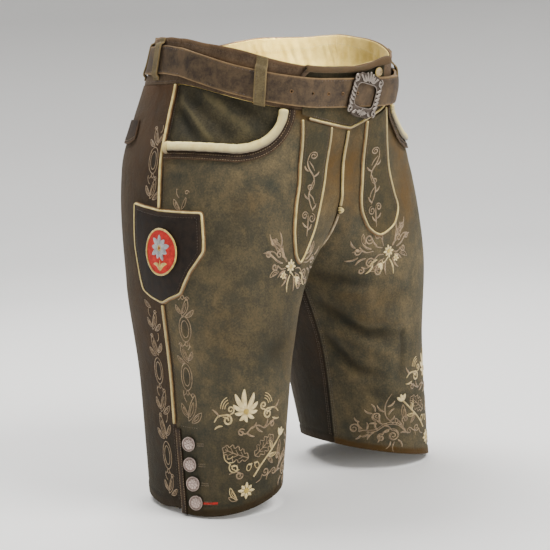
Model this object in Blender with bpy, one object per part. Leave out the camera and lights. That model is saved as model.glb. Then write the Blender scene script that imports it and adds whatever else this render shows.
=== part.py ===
"""Leather breeches with a drop flap, filled out as if worn, with their own belt.

Metres, +Z up. The front faces -Y and the wearer's right is -X.
The origin is the middle of the waist at the belt's height, where a wearer holds the garment up.
"""

import math

import bmesh
import bpy
from mathutils import Matrix, Vector

# Levels of the garment, measured down the side seam from the origin.
WAIST_TOP = 0.035
WAISTBAND_SEAM = -0.020
CROTCH = -0.241
SLIT_TOP = -0.398
HEM = -0.492

# Sections of the hips and legs. side: half width; front, back: how far the flat of the front
# and of the back stand from the middle; seam: where the outseam runs, front to back.
SECTIONS = (
    dict(z=WAIST_TOP, side=0.1351, front=-0.1283, back=0.1108, seam=0.0084),
    dict(z=0.003, side=0.1385, front=-0.1220, back=0.1225, seam=0.0120),
    dict(z=-0.025, side=0.1447, front=-0.1171, back=0.1400, seam=0.0142),
    dict(z=-0.060, side=0.1590, front=-0.1098, back=0.1502, seam=0.0120),
    dict(z=-0.115, side=0.1801, front=-0.0990, back=0.1599, seam=0.0059),
    dict(z=CROTCH, side=0.1968, front=-0.0909, back=0.1367, seam=-0.0024),
    dict(z=-0.3665, side=0.1811, front=-0.0873, back=0.1257, seam=0.0105),
    dict(z=HEM, side=0.1899, front=-0.0765, back=0.1083, seam=-0.0030),
)
# Inseam of each leg: inner: its distance from the middle; across: where it runs, front to back.
INSEAM = (
    dict(z=CROTCH, inner=0.0, across=-0.0058),
    dict(z=-0.271, inner=0.0164, across=-0.0052),
    dict(z=-0.3665, inner=0.0482, across=-0.0020),
    dict(z=HEM, inner=0.0623, across=0.0016),
)
# How far the wearer's left side of the waist is drawn in, beside the right.
LEFT_PULL = (
    dict(z=WAIST_TOP, pull=0.0190),
    dict(z=0.010, pull=0.0185),
    dict(z=-0.012, pull=0.0225),
    dict(z=-0.028, pull=0.0240),
    dict(z=-0.055, pull=0.0140),
    dict(z=-0.090, pull=0.0045),
    dict(z=-0.140, pull=0.0),
)
# Height of the waist's edge around each half.
WAIST_EDGE = (
    dict(around=0.00, right=0.0350, left=0.0360),
    dict(around=0.25, right=0.0350, left=0.0420),
    dict(around=0.60, right=0.0350, left=0.0420),
    dict(around=0.75, right=0.0325, left=0.0400),
    dict(around=0.87, right=0.0300, left=0.0370),
    dict(around=1.00, right=0.0305, left=0.0360),
    dict(around=1.12, right=0.0330, left=0.0360),
    dict(around=1.25, right=0.0330, left=0.0350),
    dict(around=1.37, right=0.0315, left=0.0350),
    dict(around=1.55, right=0.0350, left=0.0350),
    dict(around=1.70, right=0.0325, left=0.0320),
    dict(around=1.80, right=0.0300, left=0.0298),
    dict(around=1.90, right=0.0270, left=0.0268),
    dict(around=2.00, right=0.0245, left=0.0245),
)
FRONT_FORK = 0.095       # height of the curve that joins the front seam to the crotch
BACK_FORK = 0.130
FORK_POWER = 2.4
SIDE_ROUND = 2.3         # powers of the rounded corners: 2 is an ellipse, more is squarer
INNER_ROUND = 2.1
CORNER_STEPS = 14
FRONT_DIP = 0.048        # how far the waist sinks at the front
BACK_RISE = 0.006
DIP_POWER = 1.33
DIP_REACH = 0.22         # height over which the dip fades away down the hips
HEM_LEAN = 0.035         # the hem drops towards the front and rises towards the back
HEM_FALL = 0.22          # and falls from the inseam to the outseam's slit

# Largest folds. From one place to another on the skin: around runs 0 at the front edge,
# 1 at the outseam, 2 at the back edge. depth: outwards, metres; width: half width of the fold.
FOLDS = (
    dict(side=1, a=(0.32, -0.275), b=(0.78, -0.345), depth=-0.0040, width=0.012),
    dict(side=1, a=(0.30, -0.325), b=(0.72, -0.395), depth=-0.0035, width=0.012),
    dict(side=1, a=(0.25, -0.300), b=(0.75, -0.372), depth=0.0025, width=0.012),
    dict(side=-1, a=(0.12, -0.262), b=(0.52, -0.330), depth=-0.0030, width=0.012),
    dict(side=-1, a=(1.30, -0.290), b=(1.85, -0.262), depth=-0.0040, width=0.014),
    dict(side=1, a=(1.25, -0.300), b=(1.80, -0.266), depth=-0.0040, width=0.014),
    dict(side=-1, a=(1.35, -0.330), b=(1.80, -0.310), depth=0.0030, width=0.014),
    dict(side=1, a=(1.40, -0.345), b=(1.85, -0.318), depth=0.0030, width=0.014),
)

SEAM_GAP = 0.0003        # between neighbours
LAY_GAP = 0.0006         # under what lies on a panel
TRIM_GAP = 0.0011        # under trim that runs over the curve of the hip
SUEDE = 0.002
LINING = 0.001
LINING_GAP = 0.0009      # under what hangs inside a panel
PIPING_RADIUS = 0.0016
PIPING_SIDES = 5
PIPING_CLEAR = 0.0042    # from one piping's middle to the end of another that meets it

# Front pocket mouth: it drops from the waistband, rounds, and runs flat to the outseam.
POCKET_START = 0.412     # place around the front, 0 to 1
POCKET_FLAT = 0.66
POCKET_FLAT_Z = -0.084
POCKET_SIDE_Z = -0.0915
POCKET_ROUND = 2.2
POCKET_ROLL_WIDTH = 0.0100
POCKET_ROLL_HEIGHT = 0.0040
WELT_WIDTH = 0.0075
WELT_THICK = 0.0012
FACING_TUCK = 0.012

# Flap and the tongues below it, as distances from the middle of the front.
FLAP_TOP = 0.0325
FLAP_RISE = 0.0095       # the flap stands this much higher at the wearer's left
FLAP_SIDES = dict(right=-0.0735, left=0.0575)
FLAP_LEAN = 0.17         # its left side leans in towards the top by this share
FLAP_PIPING = dict(right=-0.0640, left=0.0565)
FLAP_POINT = dict(across=0.002, z=-0.0480)
FLAP_CORNER_Z = dict(right=-0.0280, left=-0.0160)
FLAP_THICK = 0.0016
CURL_RADIUS = 0.0029
CURL_TURN = math.radians(262)
TONGUE_THICK = 0.0015
# Tongue outlines: near and far borders of each tongue, metres from the middle.
TONGUES = (
    dict(z=-0.0440, right=(0.0285, 0.0722), left=(0.0290, 0.0612)),
    dict(z=-0.0660, right=(0.0270, 0.0693), left=(0.0310, 0.0680)),
    dict(z=-0.1000, right=(0.0270, 0.0680), left=(0.0332, 0.0755)),
    dict(z=-0.1340, right=(0.0292, 0.0682), left=(0.0338, 0.0820)),
    dict(z=-0.1600, right=(0.0340, 0.0722), left=(0.0328, 0.0900)),
    dict(z=-0.1780, right=(0.0385, 0.0745), left=(0.0348, 0.0972)),
    dict(z=-0.1920, right=(0.0429, 0.0760), left=(0.0420, 0.0940)),
    dict(z=-0.2020, right=(0.0475, 0.0758), left=(0.0500, 0.0860)),
    dict(z=-0.2100, right=(0.0520, 0.0752), left=None),
    dict(z=-0.2210, right=(0.0590, 0.0735), left=None),
)
TONGUE_ENDS = dict(right=(0.0665, -0.2290), left=(0.0665, -0.2100))

# Knife pocket: half widths about the outseam, top to bottom.
KNIFE_TOP = dict(front=-0.1640, middle=-0.1610, back=-0.1530)
KNIFE_POCKET = (
    dict(down=0.000, front=0.0575, back=0.0510),
    dict(down=0.030, front=0.0590, back=0.0490),
    dict(down=0.045, front=0.0585, back=0.0465),
    dict(down=0.056, front=0.0510, back=0.0435),
    dict(down=0.066, front=0.0435, back=0.0405),
    dict(down=0.080, front=0.0370, back=0.0365),
    dict(down=0.090, front=0.0310, back=0.0310),
    dict(down=0.098, front=0.0170, back=0.0180),
)
KNIFE_REACH = 0.0545     # half its width at the top
KNIFE_SHOULDER = -0.2570 # where its sides turn in to the point
KNIFE_POINT = -0.2630
KNIFE_THICK = 0.0024
KNIFE_SWELL = 0.0030     # how far the pocket stands out over what it holds
BADGE = dict(across=0.0075, z=-0.2060, width=0.0480, height=0.0520, thick=0.0012)

# Buttoned slit at the bottom of each outseam.
PLACKET = dict(near=0.0008, far=0.0068, thick=0.0015)
BUTTON_RADIUS = 0.0087
BUTTON_SIDES = 14
# share: of the button's radius; height: off its foot.
BUTTON_PROFILE = (
    dict(share=0.25, height=0.0),
    dict(share=0.25, height=0.0006),
    dict(share=0.93, height=0.0012),
    dict(share=1.00, height=0.0022),
    dict(share=0.90, height=0.0030),
    dict(share=0.55, height=0.0034),
)
BUTTONS = (
    dict(from_side=0.0229, z=-0.4157),
    dict(from_side=0.0222, z=-0.4368),
    dict(from_side=0.0241, z=-0.4566),
    dict(from_side=0.0259, z=-0.4767),
)
HEM_TURN = 0.0012        # the turned hem thickens the wall by this much
HEM_HEIGHT = 0.022
HEM_STEP = 0.003         # height over which the turned hem thickens
SLIT_STEP = 0.004        # the back hem is this much shorter beside the slit

# Belt, in its loops.
BELT_WIDTH = 0.032
BELT_THICK = 0.0028
# Height of the belt's middle line around each half.
BELT_LINE = (
    dict(around=0.00, z=0.0043),
    dict(around=0.30, z=0.0040),
    dict(around=0.55, z=0.0015),
    dict(around=0.70, z=0.0000),
    dict(around=0.85, z=0.0010),
    dict(around=1.00, z=0.0040),
    dict(around=1.14, z=0.0075),
    dict(around=1.30, z=0.0070),
    dict(around=2.00, z=0.0060),
)
BELT_LIFT = 0.0013
BELT_FLAP_LIFT = 0.0031
BELT_STAND_OFF = 0.0030  # extra, at the wearer's left, where the waistband is drawn in
BELT_LAP = BELT_THICK + 0.0008
BELT_START = 0.105       # end under the buckle, left of the middle
BELT_TIP = 0.40          # tip, left front, short of its loop
LOOP_WIDTH = 0.0125
LOOP_THICK = 0.0018
LOOPS = (
    dict(name="loop_front", around=0.525),
    dict(name="loop_side", around=1.19),
    dict(name="loop_back", around=1.50),
)
BUCKLE = dict(
    width=0.0475, height=0.046, thick=0.0032, bar=0.0076,
    across=0.0088, z=0.0012, tilt=12.0, lean=13.0, off=0.0006,
)
FLAP_BUTTON = dict(across=0.0345, z=0.0290, radius=0.0054)
BACK_FLAP = dict(top=-0.0600, bottom=-0.0850, near=0.058, far=0.130, thick=0.0018, kick=0.0006)

COLOURS = dict(
    suede=((0.070, 0.062, 0.042), 0.95, 0.0),
    facing=((0.045, 0.052, 0.040), 0.95, 0.0),
    dark=((0.040, 0.028, 0.020), 0.80, 0.0),
    brown=((0.085, 0.052, 0.028), 0.85, 0.0),
    cream=((0.66, 0.60, 0.38), 0.70, 0.0),
    lining=((0.62, 0.56, 0.34), 0.85, 0.0),
    badge=((0.55, 0.06, 0.04), 0.80, 0.0),
    silver=((0.36, 0.32, 0.29), 0.40, 1.0),
    horn=((0.72, 0.62, 0.42), 0.45, 0.0),
)


# --- Sections and the skin --------------------------------------------------

def ease(t):
    """0 before 0, 1 after 1, and a smooth rise between."""
    t = min(max(t, 0.0), 1.0)
    return t * t * (3 - 2 * t)


def read(table, column, z, key="z"):
    """A column of a table at height z, along a smooth curve that never overshoots its rows."""
    rows = sorted(table, key=lambda row: row[key])
    zs = [row[key] for row in rows]
    vs = [row[column] for row in rows]
    steps = [b - a for a, b in zip(zs, zs[1:])]
    slopes = [(b - a) / h for a, b, h in zip(vs, vs[1:], steps)]
    ends = [slopes[0]]
    for i in range(1, len(slopes)):
        before, after = slopes[i - 1], slopes[i]
        if before * after <= 0:
            ends.append(0.0)
            continue
        w1 = 2 * steps[i] + steps[i - 1]
        w2 = steps[i] + 2 * steps[i - 1]
        ends.append((w1 + w2) / (w1 / before + w2 / after))
    ends.append(slopes[-1])
    i = 0
    while i < len(steps) - 1 and z > zs[i + 1]:
        i += 1
    h = steps[i]
    t = (z - zs[i]) / h
    rise = (2 * t ** 3 - 3 * t * t + 1) * vs[i] + (3 * t * t - 2 * t ** 3) * vs[i + 1]
    bend = (t ** 3 - 2 * t * t + t) * ends[i] + (t ** 3 - t * t) * ends[i + 1]
    return rise + h * bend


def corner(start, end, power, steps):
    """Rounded corner that leaves start along y and arrives at end along x."""
    points = []
    for i in range(steps + 1):
        t = math.pi / 2 * i / steps
        x = end[0] + (start[0] - end[0]) * max(math.cos(t), 0.0) ** (2 / power)
        y = start[1] + (end[1] - start[1]) * math.sin(t) ** (2 / power)
        points.append((x, y))
    return points


def measured(points):
    """The points with the distance run up to each."""
    runs = [0.0]
    for a, b in zip(points, points[1:]):
        runs.append(runs[-1] + math.dist(a, b))
    return points, runs


section_cache = {}


def section(z):
    """Front and back outlines of the left half at height z, each from its edge to the outseam."""
    key = round(z, 6)
    if key in section_cache:
        return section_cache[key]
    side, front, back, seam = (read(SECTIONS, c, z) for c in ("side", "front", "back", "seam"))
    across = read(INSEAM, "across", min(z, CROTCH))
    if z >= CROTCH:
        inner = 0.0
        front_down = min(max(1 - (z - CROTCH) / FRONT_FORK, 0), 1)
        back_down = min(max(1 - (z - CROTCH) / BACK_FORK, 0), 1)
        front_edge = front + (across - front) * front_down ** FORK_POWER
        back_edge = back + (across - back) * back_down ** FORK_POWER
        blend = min((z - CROTCH) / 0.12, 1)
        front_mid = side * (0.5 - 0.2 * blend)
        back_mid = side * (0.5 - 0.1 * blend)
    else:
        inner = read(INSEAM, "inner", z)
        front_edge = back_edge = across
        front_mid = back_mid = (inner + side) / 2
    halves = []
    for edge, flat, mid in ((front_edge, front, front_mid), (back_edge, back, back_mid)):
        inward = corner((inner, edge), (mid, flat), INNER_ROUND, CORNER_STEPS)
        outward = corner((side, seam), (mid, flat), SIDE_ROUND, CORNER_STEPS)
        halves.append(measured(inward + outward[::-1][1:]))
    section_cache[key] = halves, dict(side=side, front=front, back=back, seam=seam, inner=inner)
    return section_cache[key]


def between(xs, ys, x):
    """Straight reading of ys at x, where xs rise."""
    if x <= xs[0]:
        return ys[0]
    for a, b, ya, yb in zip(xs, xs[1:], ys, ys[1:]):
        if x <= b:
            return ya + (yb - ya) * (x - a) / (b - a) if b > a else yb
    return ys[-1]


def pull(side, z):
    """Share by which one side of the waist is drawn in at height z."""
    if side < 0:
        return 1.0
    _, sizes = section(z)
    return 1 - max(read(LEFT_PULL, "pull", max(z, LEFT_PULL[-1]["z"])), 0.0) / sizes["side"]


def place(side, around, z):
    """Point on one side, mirrored to +x. around: 0 front edge, 1 outseam, 2 back edge."""
    (front, back), sizes = section(z)
    points, runs = front if around <= 1 else back
    share = around if around <= 1 else 2 - around
    run = share * runs[-1]
    x = between(runs, [p[0] for p in points], run)
    y = between(runs, [p[1] for p in points], run)
    top = ease(1 + (z - WAIST_TOP) / DIP_REACH)
    if y < sizes["seam"]:
        ahead = (sizes["seam"] - y) / (sizes["seam"] - sizes["front"])
        shift = -FRONT_DIP * top * ahead ** DIP_POWER
    else:
        behind = (y - sizes["seam"]) / (sizes["back"] - sizes["seam"])
        shift = BACK_RISE * top * behind ** DIP_POWER
    low = ease((CROTCH - 0.05 - z) / (CROTCH - 0.05 - HEM))
    shift += low * HEM_LEAN * (y - sizes["seam"])
    shift -= low * HEM_FALL * (x - (sizes["side"] + sizes["inner"]) / 2)
    return Vector((x * pull(side, z) + SEAM_GAP / 2, y, z + shift))


def run_length(around, z):
    """Length of the front or the back outline at height z, from its edge to the outseam."""
    halves, _ = section(z)
    return halves[0 if around <= 1 else 1][1][-1]


def from_side(distance, z):
    """Place around at a distance from the outseam: ahead of it if positive."""
    if distance >= 0:
        return 1 - distance / run_length(0.5, z)
    return 1 - distance / run_length(1.5, z)


def from_middle(x, z):
    """Place around on the front at a signed distance x from the garment's middle plane."""
    points, runs = section(z)[0][0]
    reach = abs(x) / pull(1 if x > 0 else -1, z)
    return between([p[0] for p in points], runs, reach) / runs[-1]


def fold_depth(side, point):
    """How far the skin moves out, or in if negative, at a point of the left half."""
    total = 0.0
    for fold in FOLDS:
        if fold["side"] != side:
            continue
        start, end = place(side, *fold["a"]), place(side, *fold["b"])
        line = end - start
        t = min(max((point - start).dot(line) / line.length_squared, 0.0), 1.0)
        away = (point - start - line * t).length / fold["width"]
        if away < 2.5:
            total += fold["depth"] * math.exp(-away * away) * math.sqrt(math.sin(math.pi * t) + 1e-9)
    return total


NORMAL_STEP = 0.003


def skin(side, around, z, lift=0.0):
    """Point on the garment, lifted off it. side: 1 for the wearer's left, -1 for the right."""
    point = place(side, around, z)
    step = NORMAL_STEP / run_length(around, z)
    low, high = max(around - step, 0.0), min(around + step, 2.0)
    along = place(side, high, z) - place(side, low, z)
    down = place(side, around, z - NORMAL_STEP) - place(side, around, z + NORMAL_STEP)
    out = down.cross(along).normalized()
    point = point + out * (lift + fold_depth(side, point))
    return Vector((side * point.x, point.y, point.z))


def outward(side, around, z):
    """Direction straight out of the skin."""
    return (skin(side, around, z, 0.01) - skin(side, around, z, 0.0)).normalized()


# --- Ways of making pieces --------------------------------------------------

def material(slot):
    """The part's own material for a slot, made once."""
    found = bpy.data.materials.get(slot)
    if found:
        return found
    colour, roughness, metallic = COLOURS[slot]
    made = bpy.data.materials.new(slot)
    made.use_nodes = True
    shader = made.node_tree.nodes["Principled BSDF"]
    shader.inputs["Base Color"].default_value = (*colour, 1.0)
    shader.inputs["Roughness"].default_value = roughness
    shader.inputs["Metallic"].default_value = metallic
    made.diffuse_color = (*colour, 1.0)
    return made


def finish(name, slot, bm):
    """Turn a bmesh into a named object whose faces look out."""
    bmesh.ops.recalc_face_normals(bm, faces=bm.faces[:])
    mesh = bpy.data.meshes.new(name)
    bm.to_mesh(mesh)
    bm.free()
    mesh.materials.append(material(slot))
    mesh.shade_smooth()
    mesh.set_sharp_from_angle(angle=math.radians(40))
    made = bpy.data.objects.new(name, mesh)
    bpy.context.scene.collection.objects.link(made)
    return made


def wall(name, slot, outer, inner, ring=False):
    """Closed wall between two grids of points. ring: the last column meets the first."""
    bm = bmesh.new()
    rows, columns = len(outer), len(outer[0])
    out = [[bm.verts.new(p) for p in row] for row in outer]
    inn = [[bm.verts.new(p) for p in row] for row in inner]
    last = columns if ring else columns - 1
    for r in range(rows - 1):
        for c in range(last):
            d = (c + 1) % columns
            bm.faces.new((out[r][c], out[r + 1][c], out[r + 1][d], out[r][d]))
            bm.faces.new((inn[r][d], inn[r + 1][d], inn[r + 1][c], inn[r][c]))
    for c in range(last):
        d = (c + 1) % columns
        bm.faces.new((out[0][d], inn[0][d], inn[0][c], out[0][c]))
        bm.faces.new((out[-1][c], inn[-1][c], inn[-1][d], out[-1][d]))
    if not ring:
        for r in range(rows - 1):
            bm.faces.new((out[r][0], inn[r][0], inn[r + 1][0], out[r + 1][0]))
            bm.faces.new((out[r + 1][-1], inn[r + 1][-1], inn[r][-1], out[r][-1]))
    return finish(name, slot, bm)


def panel(name, slot, grid, lift, thick):
    """Wall on the skin through a grid of (side, around, z), its outer face lifted by lift."""
    outer = [[skin(*cell, lift) for cell in row] for row in grid]
    inner = [[skin(*cell, lift - thick) for cell in row] for row in grid]
    return wall(name, slot, outer, inner)


def tube(name, slot, path, ups, width, height, sides=PIPING_SIDES, ring=False):
    """Oval tube along a path. ups: the way its height points at each point of the path."""
    bm = bmesh.new()
    loops = []
    count = len(path)
    for i, (point, up) in enumerate(zip(path, ups)):
        before = path[i - 1] if ring or i > 0 else path[i]
        after = path[(i + 1) % count] if ring or i < count - 1 else path[i]
        ahead = (after - before).normalized()
        across = ahead.cross(up).normalized()
        rise = across.cross(ahead).normalized()
        loop = []
        for k in range(sides):
            turn = 2 * math.pi * (k + 0.5) / sides
            reach = across * width / 2 * math.cos(turn)
            loop.append(bm.verts.new(point + reach + rise * height / 2 * math.sin(turn)))
        loops.append(loop)
    for i in range(count if ring else count - 1):
        a, b = loops[i], loops[(i + 1) % count]
        for k in range(sides):
            n = (k + 1) % sides
            bm.faces.new((a[k], a[n], b[n], b[k]))
    if not ring:
        bm.faces.new(loops[0][::-1])
        bm.faces.new(loops[-1])
    return finish(name, slot, bm)


def piping(name, cells, lay=LAY_GAP, ring=False):
    """Cream piping that lies on the skin through cells (side, around, z)."""
    path = [skin(*cell, lay + PIPING_RADIUS) for cell in cells]
    ups = [outward(*cell) for cell in cells]
    return tube(name, "cream", path, ups, 2 * PIPING_RADIUS, 2 * PIPING_RADIUS, ring=ring)


def steps(start, end, count):
    """Evenly spaced values from start to end, both counted."""
    return [start + (end - start) * i / (count - 1) for i in range(count)]


# --- Pocket mouth -----------------------------------------------------------

def pocket_z(around):
    """Height of the pocket mouth at a place around the front."""
    if around >= POCKET_FLAT:
        return POCKET_FLAT_Z + (POCKET_SIDE_Z - POCKET_FLAT_Z) * (around - POCKET_FLAT) / (1 - POCKET_FLAT)
    share = max((POCKET_FLAT - around) / (POCKET_FLAT - POCKET_START), 0.0)
    cosine = min(share ** (POCKET_ROUND / 2), 1.0)
    sine = math.sqrt(1 - cosine * cosine) ** (2 / POCKET_ROUND)
    return WAISTBAND_SEAM + (POCKET_FLAT_Z - WAISTBAND_SEAM) * sine


def pocket_mouth(count):
    """Places (around, z) along the pocket mouth, from the waistband to the outseam."""
    places = []
    bend = count * 3 // 5
    for i in range(bend):
        turn = math.pi / 2 * i / bend
        around = POCKET_FLAT - (POCKET_FLAT - POCKET_START) * math.cos(turn) ** (2 / POCKET_ROUND)
        z = WAISTBAND_SEAM + (POCKET_FLAT_Z - WAISTBAND_SEAM) * math.sin(turn) ** (2 / POCKET_ROUND)
        places.append((around, z))
    for around in steps(POCKET_FLAT, 1.0, count - bend):
        places.append((around, pocket_z(around)))
    return places


# --- Panels -----------------------------------------------------------------

FRONT_COLUMNS = (
    0.0, 0.05, 0.11, 0.18, 0.25, 0.32, 0.395, 0.418, 0.442,
    0.492, 0.554, 0.62, 0.69, 0.76, 0.83, 0.89, 0.945, 1.0,
)
BACK_COLUMNS = (
    0.0, 0.055, 0.12, 0.19, 0.26, 0.33, 0.40, 0.47,
    0.54, 0.61, 0.68, 0.75, 0.81, 0.87, 0.935, 1.0,
)
FACING_COLUMNS = (0.385, 0.418, 0.455, 0.50, 0.56, 0.63, 0.71, 0.79, 0.87, 0.94, 1.0)
FORK_SHARES = (0.0, 0.35, 0.60, 0.80, 0.92, 0.98, 1.0)
HIP_ROWS = 6
HIP_Z = -0.110
LEG_ROWS = (-0.2445, -0.252, -0.266, -0.286, -0.312, -0.340, -0.370, -0.400, -0.434)


def trimmed(around, z, half):
    """A place kept half a seam gap off the edges of the front (half 0) or the back (half 1)."""
    edge = SEAM_GAP / 2 / run_length(half + 0.5, z)
    return min(max(around, half + edge), half + 1 - edge)


def leg_levels(top, fork):
    """Heights down a column: from its top edge, past the fork, to the hem."""
    levels = steps(top, HIP_Z, HIP_ROWS)
    levels += [z for z in (CROTCH + fork * (1 - share) for share in FORK_SHARES) if z < HIP_Z - 0.004]
    return levels + list(LEG_ROWS) + [HEM + HEM_HEIGHT + HEM_STEP, HEM + HEM_HEIGHT]


def leg_wall(name, grid):
    """Wall of one front or back, thicker where its hem is turned up inside."""
    outer = [[skin(*cell) for cell in row] for row in grid]
    inner = []
    for row in grid:
        turned = HEM_TURN if row[0][2] < HEM + HEM_HEIGHT + HEM_STEP / 2 else 0.0
        inner.append([skin(*cell, -SUEDE - turned) for cell in row])
    return wall(name, "suede", outer, inner)


def front(name, side):
    """Front of one leg, from the waistband or the pocket mouth to the hem."""
    columns = []
    for share in FRONT_COLUMNS:
        top = WAISTBAND_SEAM - SEAM_GAP if share < POCKET_START else pocket_z(share)
        levels = leg_levels(top, FRONT_FORK) + [HEM]
        columns.append([(side, trimmed(share, z, 0), z) for z in levels])
    return leg_wall(name, [list(row) for row in zip(*columns)])


def back(name, side):
    """Back of one leg, from the waistband to the hem."""
    columns = []
    for share in BACK_COLUMNS:
        levels = leg_levels(WAISTBAND_SEAM - SEAM_GAP, BACK_FORK)
        levels.append(back_hem(2 - share))
        columns.append([(side, trimmed(2 - share, z, 1), z) for z in levels])
    return leg_wall(name, [list(row) for row in zip(*columns)])


def back_hem(around):
    """Height of the back's hem: a step shorter beside the slit."""
    return HEM + SLIT_STEP * ease((1.14 - around) / 0.12)


def facing(name, side):
    """Panel behind the pocket mouth."""
    columns = []
    for share in FACING_COLUMNS:
        bottom = pocket_z(max(share, POCKET_START + 0.006)) - FACING_TUCK
        levels = steps(WAISTBAND_SEAM - SEAM_GAP, bottom, 4)
        columns.append([(side, trimmed(share, z, 0), z) for z in levels])
    return panel(name, "facing", [list(row) for row in zip(*columns)], -SUEDE - LINING_GAP, SUEDE)


def waist_edge(side, around):
    """Height of the waist's edge."""
    return read(WAIST_EDGE, "right" if side < 0 else "left", around, key="around")


def waist_grid(places, drop, bottom, rows):
    """Cells from just below the waist's edge down to a level, column by column."""
    columns = []
    for side, around, half in places:
        levels = steps(waist_edge(side, around) - drop, bottom, rows)
        columns.append([(side, trimmed(around, z, half), z) for z in levels])
    return [list(row) for row in zip(*columns)]


def waistband(name, places):
    """Stretch of waistband through (side, around, half) places."""
    return panel(name, "suede", waist_grid(places, 0.0, WAISTBAND_SEAM, 4), 0.0, SUEDE)


def lining(name, places):
    """Stretch of the cream lining, inside the waistband."""
    return panel(name, "lining", waist_grid(places, 0.0005, WAISTBAND_SEAM, 4), -SUEDE - LINING_GAP, LINING)


def band_places(side, half, count):
    """Places along one front (half 0) or one back (half 1), edge to outseam."""
    return [(side, around, half) for around in steps(0 if half == 0 else 2, 1, count)]


def waist_pieces():
    """Waistband and its lining, in front and behind."""
    behind = band_places(-1, 1, 15)[::-1] + band_places(1, 1, 15)[1:]
    for word, side in (("right", -1), ("left", 1)):
        ahead = band_places(side, 0, 13)
        waistband("waistband_" + word, ahead)
        lining("lining_" + word, ahead)
    waistband("waistband_back", behind)
    lining("lining_back", behind)


# --- Flap, tongues and fly --------------------------------------------------

def across(x, z):
    """Cell on the front at a signed distance x from the middle."""
    return (1 if x > 0 else -1, from_middle(x, z), z)


def flap_point_z(x):
    """Height of the line between the flap's pointed lower edge and the tongues."""
    word = "left" if x > FLAP_POINT["across"] else "right"
    share = (x - FLAP_POINT["across"]) / (FLAP_SIDES[word] - FLAP_POINT["across"])
    return FLAP_POINT["z"] + (FLAP_CORNER_Z[word] - FLAP_POINT["z"]) * min(share, 1.0) ** 1.15


def flap():
    """Drop flap. Its top edge curls forwards, wider at the wearer's left."""
    lines = []
    for x in flap_places(FLAP_SIDES):
        bottom = flap_point_z(x) + PIPING_RADIUS * 1.15 + LAY_GAP
        middle = LAY_GAP + FLAP_THICK / 2
        radius = CURL_RADIUS * (1 + 0.45 * ease((x - 0.030) / 0.025))
        top = FLAP_TOP + FLAP_RISE * ease(x / FLAP_SIDES["left"])
        outer, inner = [], []
        for z in steps(bottom, top, 5):
            outer.append((x, z, middle + FLAP_THICK / 2))
            inner.append((x, z, middle - FLAP_THICK / 2))
        for turn in steps(0, CURL_TURN, 10)[1:]:
            lift = middle + radius * (1 - math.cos(turn))
            z = top + radius * math.sin(turn)
            reach = FLAP_THICK / 2
            outer.append((x, z - reach * math.sin(turn), lift + reach * math.cos(turn)))
            inner.append((x, z + reach * math.sin(turn), lift - reach * math.cos(turn)))
        lines.append((outer, inner))
    outer = [[skin(*across(flap_lean(x, z), z), lift) for x, z, lift in line[0]] for line in lines]
    inner = [[skin(*across(flap_lean(x, z), z), lift) for x, z, lift in line[1]] for line in lines]
    return wall("flap", "suede", outer, inner)


def flap_places(ends):
    """Places across the flap, one of them at its point."""
    return steps(ends["right"], FLAP_POINT["across"], 9) + steps(FLAP_POINT["across"], ends["left"], 8)[1:]


def flap_lean(x, z):
    """Place across the flap at height z, drawn in towards the top at the wearer's left."""
    if x < 0:
        return x
    return x * (1 - FLAP_LEAN * ease((z - FLAP_CORNER_Z["left"]) / (FLAP_TOP - FLAP_CORNER_Z["left"])))


def tongue_borders(word):
    """Near and far borders of a tongue, top to bottom, as signed (x, z)."""
    sign = -1 if word == "right" else 1
    near, far = [], []
    for row in TONGUES:
        if row[word] is None:
            continue
        near.append((sign * row[word][0], row["z"]))
        far.append((sign * row[word][1], row["z"]))
    end = (sign * TONGUE_ENDS[word][0], TONGUE_ENDS[word][1])
    near[0] = (near[0][0], flap_point_z(near[0][0]) - PIPING_CLEAR)
    far[0] = (far[0][0], flap_point_z(far[0][0]) - PIPING_CLEAR)
    return near, far, end


def tongue(word):
    """Tongue panel and its piping."""
    near, far, end = tongue_borders(word)
    margin = PIPING_RADIUS + LAY_GAP
    columns = (0.0, 0.25, 0.5, 0.75, 1.0)
    grid = []
    for i, ((xn, zn), (xf, zf)) in enumerate(zip(near, far)):
        sign = 1 if xf > xn else -1
        a, b = xn + sign * margin * slanted(near + [end], i), xf - sign * margin * slanted(far + [end], i)
        grid.append([across(a + (b - a) * t, zn + (zf - zn) * t) for t in columns])
    tip_x = end[0]
    tip_z = end[1] + margin * 2.2
    grid.append([across(tip_x + (t - 0.5) * 0.006 * (1 if tip_x > 0 else -1), tip_z) for t in columns])
    panel("tongue_" + word, "suede", grid, LAY_GAP + TONGUE_THICK, TONGUE_THICK)
    outline = near + [end] + far[::-1]
    cells = [across(x, z) for x, z in smoothed(outline)]
    piping("tongue_piping_" + word, cells)


def slanted(line, i):
    """How much wider a margin is across than square to a line, at point i of the line."""
    steepest = 0.0
    for p, q in zip(line[max(i - 1, 0):i + 1], line[max(i, 1):i + 2]):
        steepest = max(steepest, abs((q[0] - p[0]) / (q[1] - p[1])))
    return math.sqrt(1 + steepest ** 2)


def smoothed(points):
    """The points of an outline with one point halfway between each two, pulled onto a smooth curve."""
    made = [points[0]]
    for i in range(len(points) - 1):
        a, b = points[i], points[i + 1]
        before = points[max(i - 1, 0)]
        after = points[min(i + 2, len(points) - 1)]
        made.append(tuple(0.5625 * (p + q) - 0.0625 * (o + r) for o, p, q, r in zip(before, a, b, after)))
        made.append(b)
    return made


def flap_trim():
    """Piping along the flap's pointed lower edge."""
    cells = [across(x, flap_point_z(x)) for x in flap_places(FLAP_PIPING)]
    piping("flap_piping", cells)


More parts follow.
